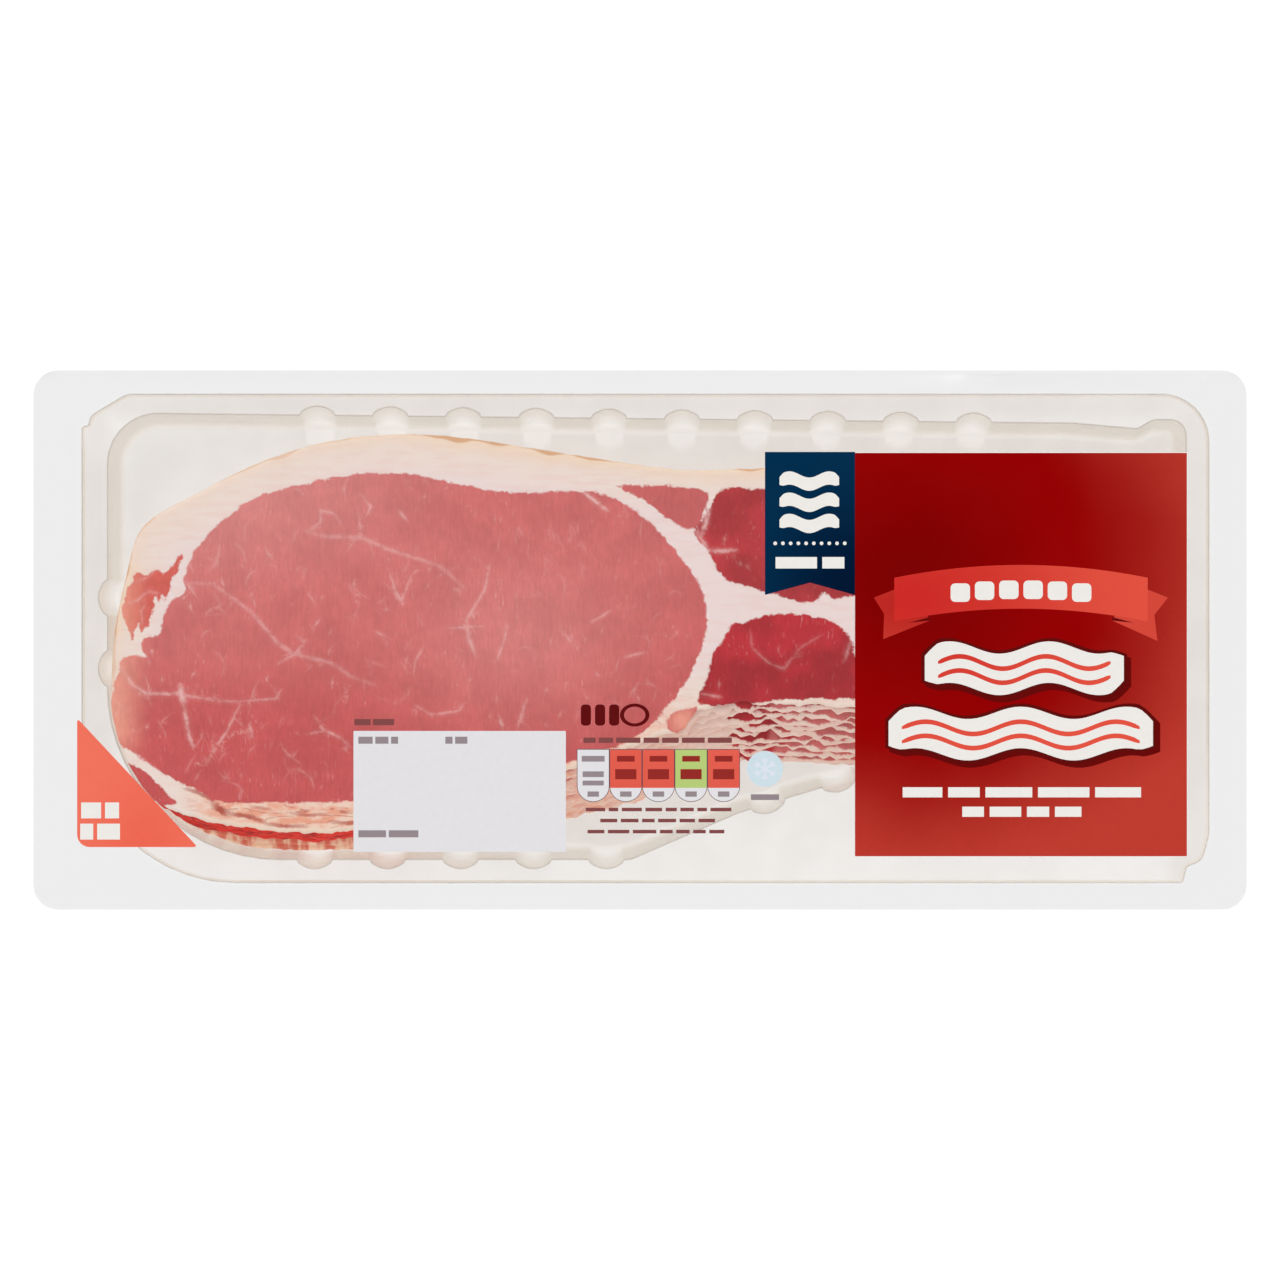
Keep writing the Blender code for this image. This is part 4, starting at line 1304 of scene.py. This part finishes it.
label = {"left": 48.7, "right": 124.1, "top": 42.6, "bottom": -49.2, "line": 0.22}
tab = {"left": 28.3, "right": 48.7, "tail": 10.2, "notch": 13.0}
date = {"left": -64.9, "right": -16.8, "top": -20.6, "bottom": -48.0}
peel = {"left": -127.5, "right": -100.2, "top": -17.7, "bottom": -46.9, "corner": 2.8}
printSheet("label_panel_print", [bar(label["left"], label["right"], label["bottom"], label["top"], 0.2)], 0,
           inks["red"], "red_print", "label_panel")
left, right, bottom, top, thin = [label[key] for key in ("left", "right", "bottom", "top", "line")]
lineOutline = [(left, bottom), (right, bottom), (right, top), (left, top), (left, top - thin),
               (right - thin, top - thin), (right - thin, bottom + thin), (left, bottom + thin)]
printSheet("label_line", [[lineOutline]], 1, inks["cream"], "red_print")
tabMiddle = 0.5 * (tab["left"] + tab["right"])
tabOutline = [(tab["left"], top), (tab["left"], tab["tail"]), (tabMiddle, tab["notch"]), (tab["right"], tab["tail"]),
              (tab["right"], top)]
printSheet("count_tab_print", [[tabOutline]], 2, inks["navy"], "navy_print", "count_tab")
printSheet("date_panel_print", [bar(date["left"], date["right"], date["bottom"], date["top"], 0.2)], 0,
           inks["white"], "white_print", "date_panel")
peelCorners = ((peel["left"], peel["bottom"], peel["corner"]), (peel["right"], peel["bottom"], 0.3),
               (peel["left"], peel["top"], 0.3))
printSheet("peel_corner_print", [[[tuple(p) for p in roundedOutline(peelCorners, steps=6)]]], 0,
           inks["coral"], "coral_print", "peel_corner")
print("fields of print done")

wordRow = wordTree()


def words(x, y, length, height, count, seed, gap=0.9):
    mesh = runTree(wordRow, Words=count, Length=length * mm, Height=height * mm, Gap=gap * mm, Seed=seed)
    return mesh, (x, y)


# Count tab: a stack of three slices as a sign, ten dots, one line of word bars

def waveBand(left, right, middle, height, waves, swing, steps=48):
    # A wavy strip, like a cooked rasher seen from above
    top, low = [], []
    for k in range(steps + 1):
        share = k / steps
        x = left + (right - left) * share
        bend = swing * math.sin(2.0 * math.pi * waves * share)
        pinch = min(1.0, (min(x - left, right - x) / (0.5 * height) + 0.35)) ** 0.5
        top.append((x, middle + bend + 0.5 * height * pinch))
        low.append((x, middle + bend - 0.5 * height * pinch))
    return low + top[::-1]


slices = [[waveBand(31.6, 45.1, y, 3.0, 1.5, 0.7)] for y in (36.0, 31.2, 26.4)]
printSheet("tab_slices", slices, 3, inks["cream"], "navy_print")
dots = runTree(rowTree(), Count=10, Pitch=1.75 * mm, Radius=0.42 * mm)
printMesh("tab_dots", [(dots, (tabMiddle, 21.9))], 3, inks["cream"], "navy_print")
printMesh("tab_words", [words(tabMiddle, 17.5, 15.6, 2.6, 2, 4, 1.2)], 3, inks["cream"], "navy_print")

# Banner: a curved band with two tails behind it

banner = {"middle": 86.3, "half": 28.7, "rise": 2.9, "top": 14.1, "height": 10.9, "tail": 4.6}


def bannerBand(left, right, top, bottom, rise, steps=24):
    low, high = [], []
    for k in range(steps + 1):
        share = 2.0 * k / steps - 1.0
        x = 0.5 * (left + right) + 0.5 * (right - left) * share
        lift = rise * (1.0 - share * share)
        low.append((x, bottom + lift))
        high.append((x, top + lift))
    return low + high[::-1]


left, right = banner["middle"] - banner["half"], banner["middle"] + banner["half"]
band = bannerBand(left, right, banner["top"], banner["top"] - banner["height"] + 1.0, banner["rise"])
tails = (
    [(left - banner["tail"], 9.6), (left - 2.3, 5.9), (left - 2.5, 0.2), (left + 8.0, 4.4), (left + 4.0, 13.0)],
    [(right - 4.0, 13.0), (right - 8.0, 4.4), (right + 2.2, -0.2), (right + 1.5, 5.7), (right + banner["tail"], 9.6)],
)
printSheet("banner_tails", [[tail] for tail in tails], 1, inks["bannerTail"], "red_print")
folds = [[[(left + 3.2, 3.9), (left + 8.0, 4.4), (left + 8.0, 5.2)]],
         [[(right - 8.0, 5.2), (right - 8.0, 4.4), (right - 3.2, 3.9)]]]
printSheet("banner_folds", folds, 2, inks["shadow"], "red_print")
printSheet("banner_band", [[band]], 3, inks["banner"], "red_print")
marks = []
for k in range(6):
    middle = banner["middle"] + (k - 2.5) * 5.5
    lift = banner["rise"] * (1.0 - ((middle - banner["middle"]) / banner["half"]) ** 2)
    marks.append(bar(middle - 2.2, middle + 2.2, 6.4 + lift, 10.6 + lift, 1.0))
printSheet("banner_marks", marks, 4, inks["cream"], "red_print")

# Two wavy strips with a dark outline and a shadow

strips = ((64.5, 109.6, -6.4, 9.4, 2.0), (56.3, 116.2, -21.2, 9.4, 2.5))  # ends, middle, height, waves
stripLook = {"swing": 1.4, "outline": 0.75, "shadow": 0.9, "stripe": 1.1, "stripeInset": 3.0,
             "stripeLifts": (-1.9, 1.3)}
for layer, key, grow, shift in ((1, "shadow", stripLook["outline"], stripLook["shadow"]),
                                (2, "outline", stripLook["outline"], 0.0), (3, "cream", 0.0, 0.0)):
    shapes = [[waveBand(x0 - grow + shift, x1 + grow + shift, middle - shift, height + 2.0 * grow, waves,
                        stripLook["swing"])] for x0, x1, middle, height, waves in strips]
    printSheet("strips_" + key, shapes, layer, inks[key], "red_print")
inset = stripLook["stripeInset"]
stripes = [[waveBand(x0 + inset, x1 - inset, middle + lift, stripLook["stripe"], waves, stripLook["swing"])]
           for x0, x1, middle, height, waves in strips for lift in stripLook["stripeLifts"]]
printSheet("strips_stripes", stripes, 4, inks["banner"], "red_print")
lines = [words(86.5, -34.5, 54.0, 2.3, 5, 11, 1.3), words(86.5, -38.9, 27.0, 2.3, 4, 5, 1.3)]
printMesh("label_words", lines, 1, inks["cream"], "red_print")
print("label print done")

# Nutrition panel: five fields with round feet

panel = {"left": -14.3, "pitch": 7.39, "top": -24.7, "split": -33.5, "line": 0.28}


def fieldOutline(index, inset=0.0):
    x0 = panel["left"] + panel["pitch"] * index + inset
    x1 = x0 + panel["pitch"] - 2.0 * inset
    middle, radius = 0.5 * (x0 + x1), 0.5 * (x1 - x0)
    points = [(x1, panel["top"] - inset), (x0, panel["top"] - inset)]
    for k in range(13):
        angle = math.pi + math.pi * k / 12
        points.append((middle + radius * math.cos(angle), panel["split"] + 0.3 + (radius - 0.2) * math.sin(angle)))
    return points


fields = [[fieldOutline(k)] for k in range(5)]
printSheet("panel_lines", fields, 0, inks["panelLine"], "white_print")
inner = [[fieldOutline(k, 0.5 * panel["line"])] for k in range(5)]
printSheet("panel_fields", inner, 1, inks["white"], "white_print")
for index, key in ((1, "signalRed"), (2, "signalRed"), (3, "signalGreen"), (4, "signalRed")):
    x0 = panel["left"] + panel["pitch"] * index + 0.5 * panel["line"]
    field = bar(x0, x0 + panel["pitch"] - panel["line"], panel["split"], panel["top"] - 0.5 * panel["line"], 0.05)
    printSheet("panel_field_%d" % index, [field], 2, inks[key], "coral_print" if key == "signalRed" else "white_print")
cellWords, lightWords = [], []
for index in range(5):
    middle = panel["left"] + panel["pitch"] * (index + 0.5)
    target = lightWords if index == 0 else cellWords
    target.append(words(middle, -26.9, 5.2 if index == 0 else 4.0, 1.3, 1, index))
    target.append(words(middle, -30.4, 4.8, 2.3 if index else 1.3, 1, index + 9))
    if index == 0:
        target.append(words(middle, -32.4, 4.8, 1.1, 1, 3))
    lightWords.append(words(middle, -34.9, 2.6, 1.2, 1, index + 20))
printMesh("panel_words_dark", cellWords, 3, inks["signalText"], "coral_print")
printMesh("panel_words_light", lightWords, 3, inks["greyText"], "white_print")

# Small lines of print as word bars, on the film, the date panel and the peel corner

mark = {"bars": (-13.4, -10.2, -7.0), "width": 2.3, "low": -19.4, "high": -14.6, "ringX": -1.2, "ringY": -17.0}
shapes = [bar(x, x + mark["width"], mark["low"], mark["high"], 0.8) for x in mark["bars"]]
ring = [ellipse(mark["ringX"], mark["ringY"], 1.15 * radius, 0.9 * radius, 40) for radius in (2.9, 2.1)]
printSheet("weight_mark", [*shapes, ring], 0, inks["maroon"], "red_print")
fine = [words(4.0, -22.7, 33.6, 1.2, 7, 8, 0.7),
        words(4.2, -38.4, 33.0, 0.8, 8, 12, 0.8), words(4.0, -40.9, 26.0, 0.8, 6, 14, 0.8),
        words(3.6, -43.4, 31.0, 0.8, 7, 17, 0.8), words(-60.2, -18.6, 9.0, 1.4, 2, 2, 0.5)]
printMesh("fine_words", fine, 0, inks["brown"], "red_print")
grey = [words(-59.3, -22.7, 9.0, 1.6, 3, 21, 0.6), words(-41.6, -22.7, 5.0, 1.6, 2, 23, 0.6),
        words(-57.0, -43.9, 13.6, 1.6, 2, 25, 0.6)]
printMesh("date_words", grey, 1, inks["greyText"], "white_print")
printMesh("peel_words", [words(-122.3, -38.6, 8.6, 3.6, 2, 31, 0.9), words(-122.3, -43.4, 9.0, 3.6, 2, 33, 0.9)],
          1, inks["cream"], "coral_print")

# Frost badge: a pale disc with a six-armed flake

badge = {"x": 28.3, "y": -29.2, "radius": 4.1}
circle = ellipse(badge["x"], badge["y"], badge["radius"], badge["radius"], 48)
printSheet("badge_disc", [[circle]], 0, inks["ice"], "white_print")
flake = runTree(armTree(), Arms=6, Length=2.6 * mm, Width=0.45 * mm)
printMesh("badge_flake", [(flake, (badge["x"], badge["y"]))], 1, inks["frost"], "white_print")
printMesh("badge_words", [words(28.3, -35.6, 6.4, 1.3, 1, 6)], 0, inks["greyText"], "white_print")
print("small print done")


# Floor, light and camera

# The sky darkens overhead, so that the film and the flange don't mirror it into the camera
stage = {"floor": 3.0, "floorColours": ((140, 140, 140), (136, 136, 136)), "glow": 0.92, "sky": 1.02,
         "zenith": 0.05, "overhead": (0.82, 0.96), "sun": 0.7, "sunAngle": 50, "sunTilt": (-32, -28)}


def buildFloor():
    bm = bmesh.new()
    bmesh.ops.create_grid(bm, x_segments=8, y_segments=8, size=0.5 * stage["floor"])
    mesh = meshFrom(bm, "floor")
    material, tree = newMaterial("pale floor")
    light, dark = [paint(*colour) for colour in stage["floorColours"]]
    colour = blendColour(tree, ease(tree, grain(tree, place(tree), 60.0), 0.3, 0.7), light, dark)
    finishMaterial(tree, solidShader(tree, colour, 0.8, Emission_Color=(1.0, 1.0, 1.0, 1.0),
                                     Emission_Strength=stage["glow"]))
    mesh.materials.append(material)
    floor = addObject("floor", mesh)


def buildLight():
    world = bpy.data.worlds.new("studio")
    bpy.context.scene.world = world
    world.use_nodes = True
    tree = world.node_tree
    background = tree.nodes["Background"]
    upwards = axes(tree, tree.nodes.new("ShaderNodeTexCoord").outputs["Generated"])[2]
    level = ease(tree, upwards, *stage["overhead"], stage["sky"], stage["zenith"])
    tree.links.new(level, background.inputs["Strength"])
    background.inputs["Color"].default_value = (1.0, 1.0, 1.0, 1.0)
    lamp = bpy.data.lights.new("softSun", "SUN")
    lamp.energy = stage["sun"]
    lamp.angle = math.radians(stage["sunAngle"])
    sun = addObject("softSun", lamp)
    sun.rotation_euler = (*map(math.radians, stage["sunTilt"]), 0.0)


def buildCamera():
    view = {"height": 2500.0, "framePixels": 1280, "packPixels": 1214, "sensor": 36.0}
    data = bpy.data.cameras.new("overhead")
    data.sensor_width = view["sensor"]
    distance = view["height"] - film["top"]
    width = tray["length"] * view["framePixels"] / view["packPixels"]
    data.lens = view["sensor"] * distance / width
    data.clip_end = 20.0
    camera = addObject("overhead", data)
    camera.location = (0.0, 0.0, view["height"] * mm)
    bpy.context.scene.camera = camera


buildFloor()
buildLight()
buildCamera()
bpy.context.scene.view_settings.view_transform = "Standard"
cycles = bpy.context.scene.cycles
cycles.use_denoising = True
cycles.max_bounces, cycles.diffuse_bounces, cycles.glossy_bounces = 4, 2, 2
cycles.transparent_max_bounces = 32
print("stage done")
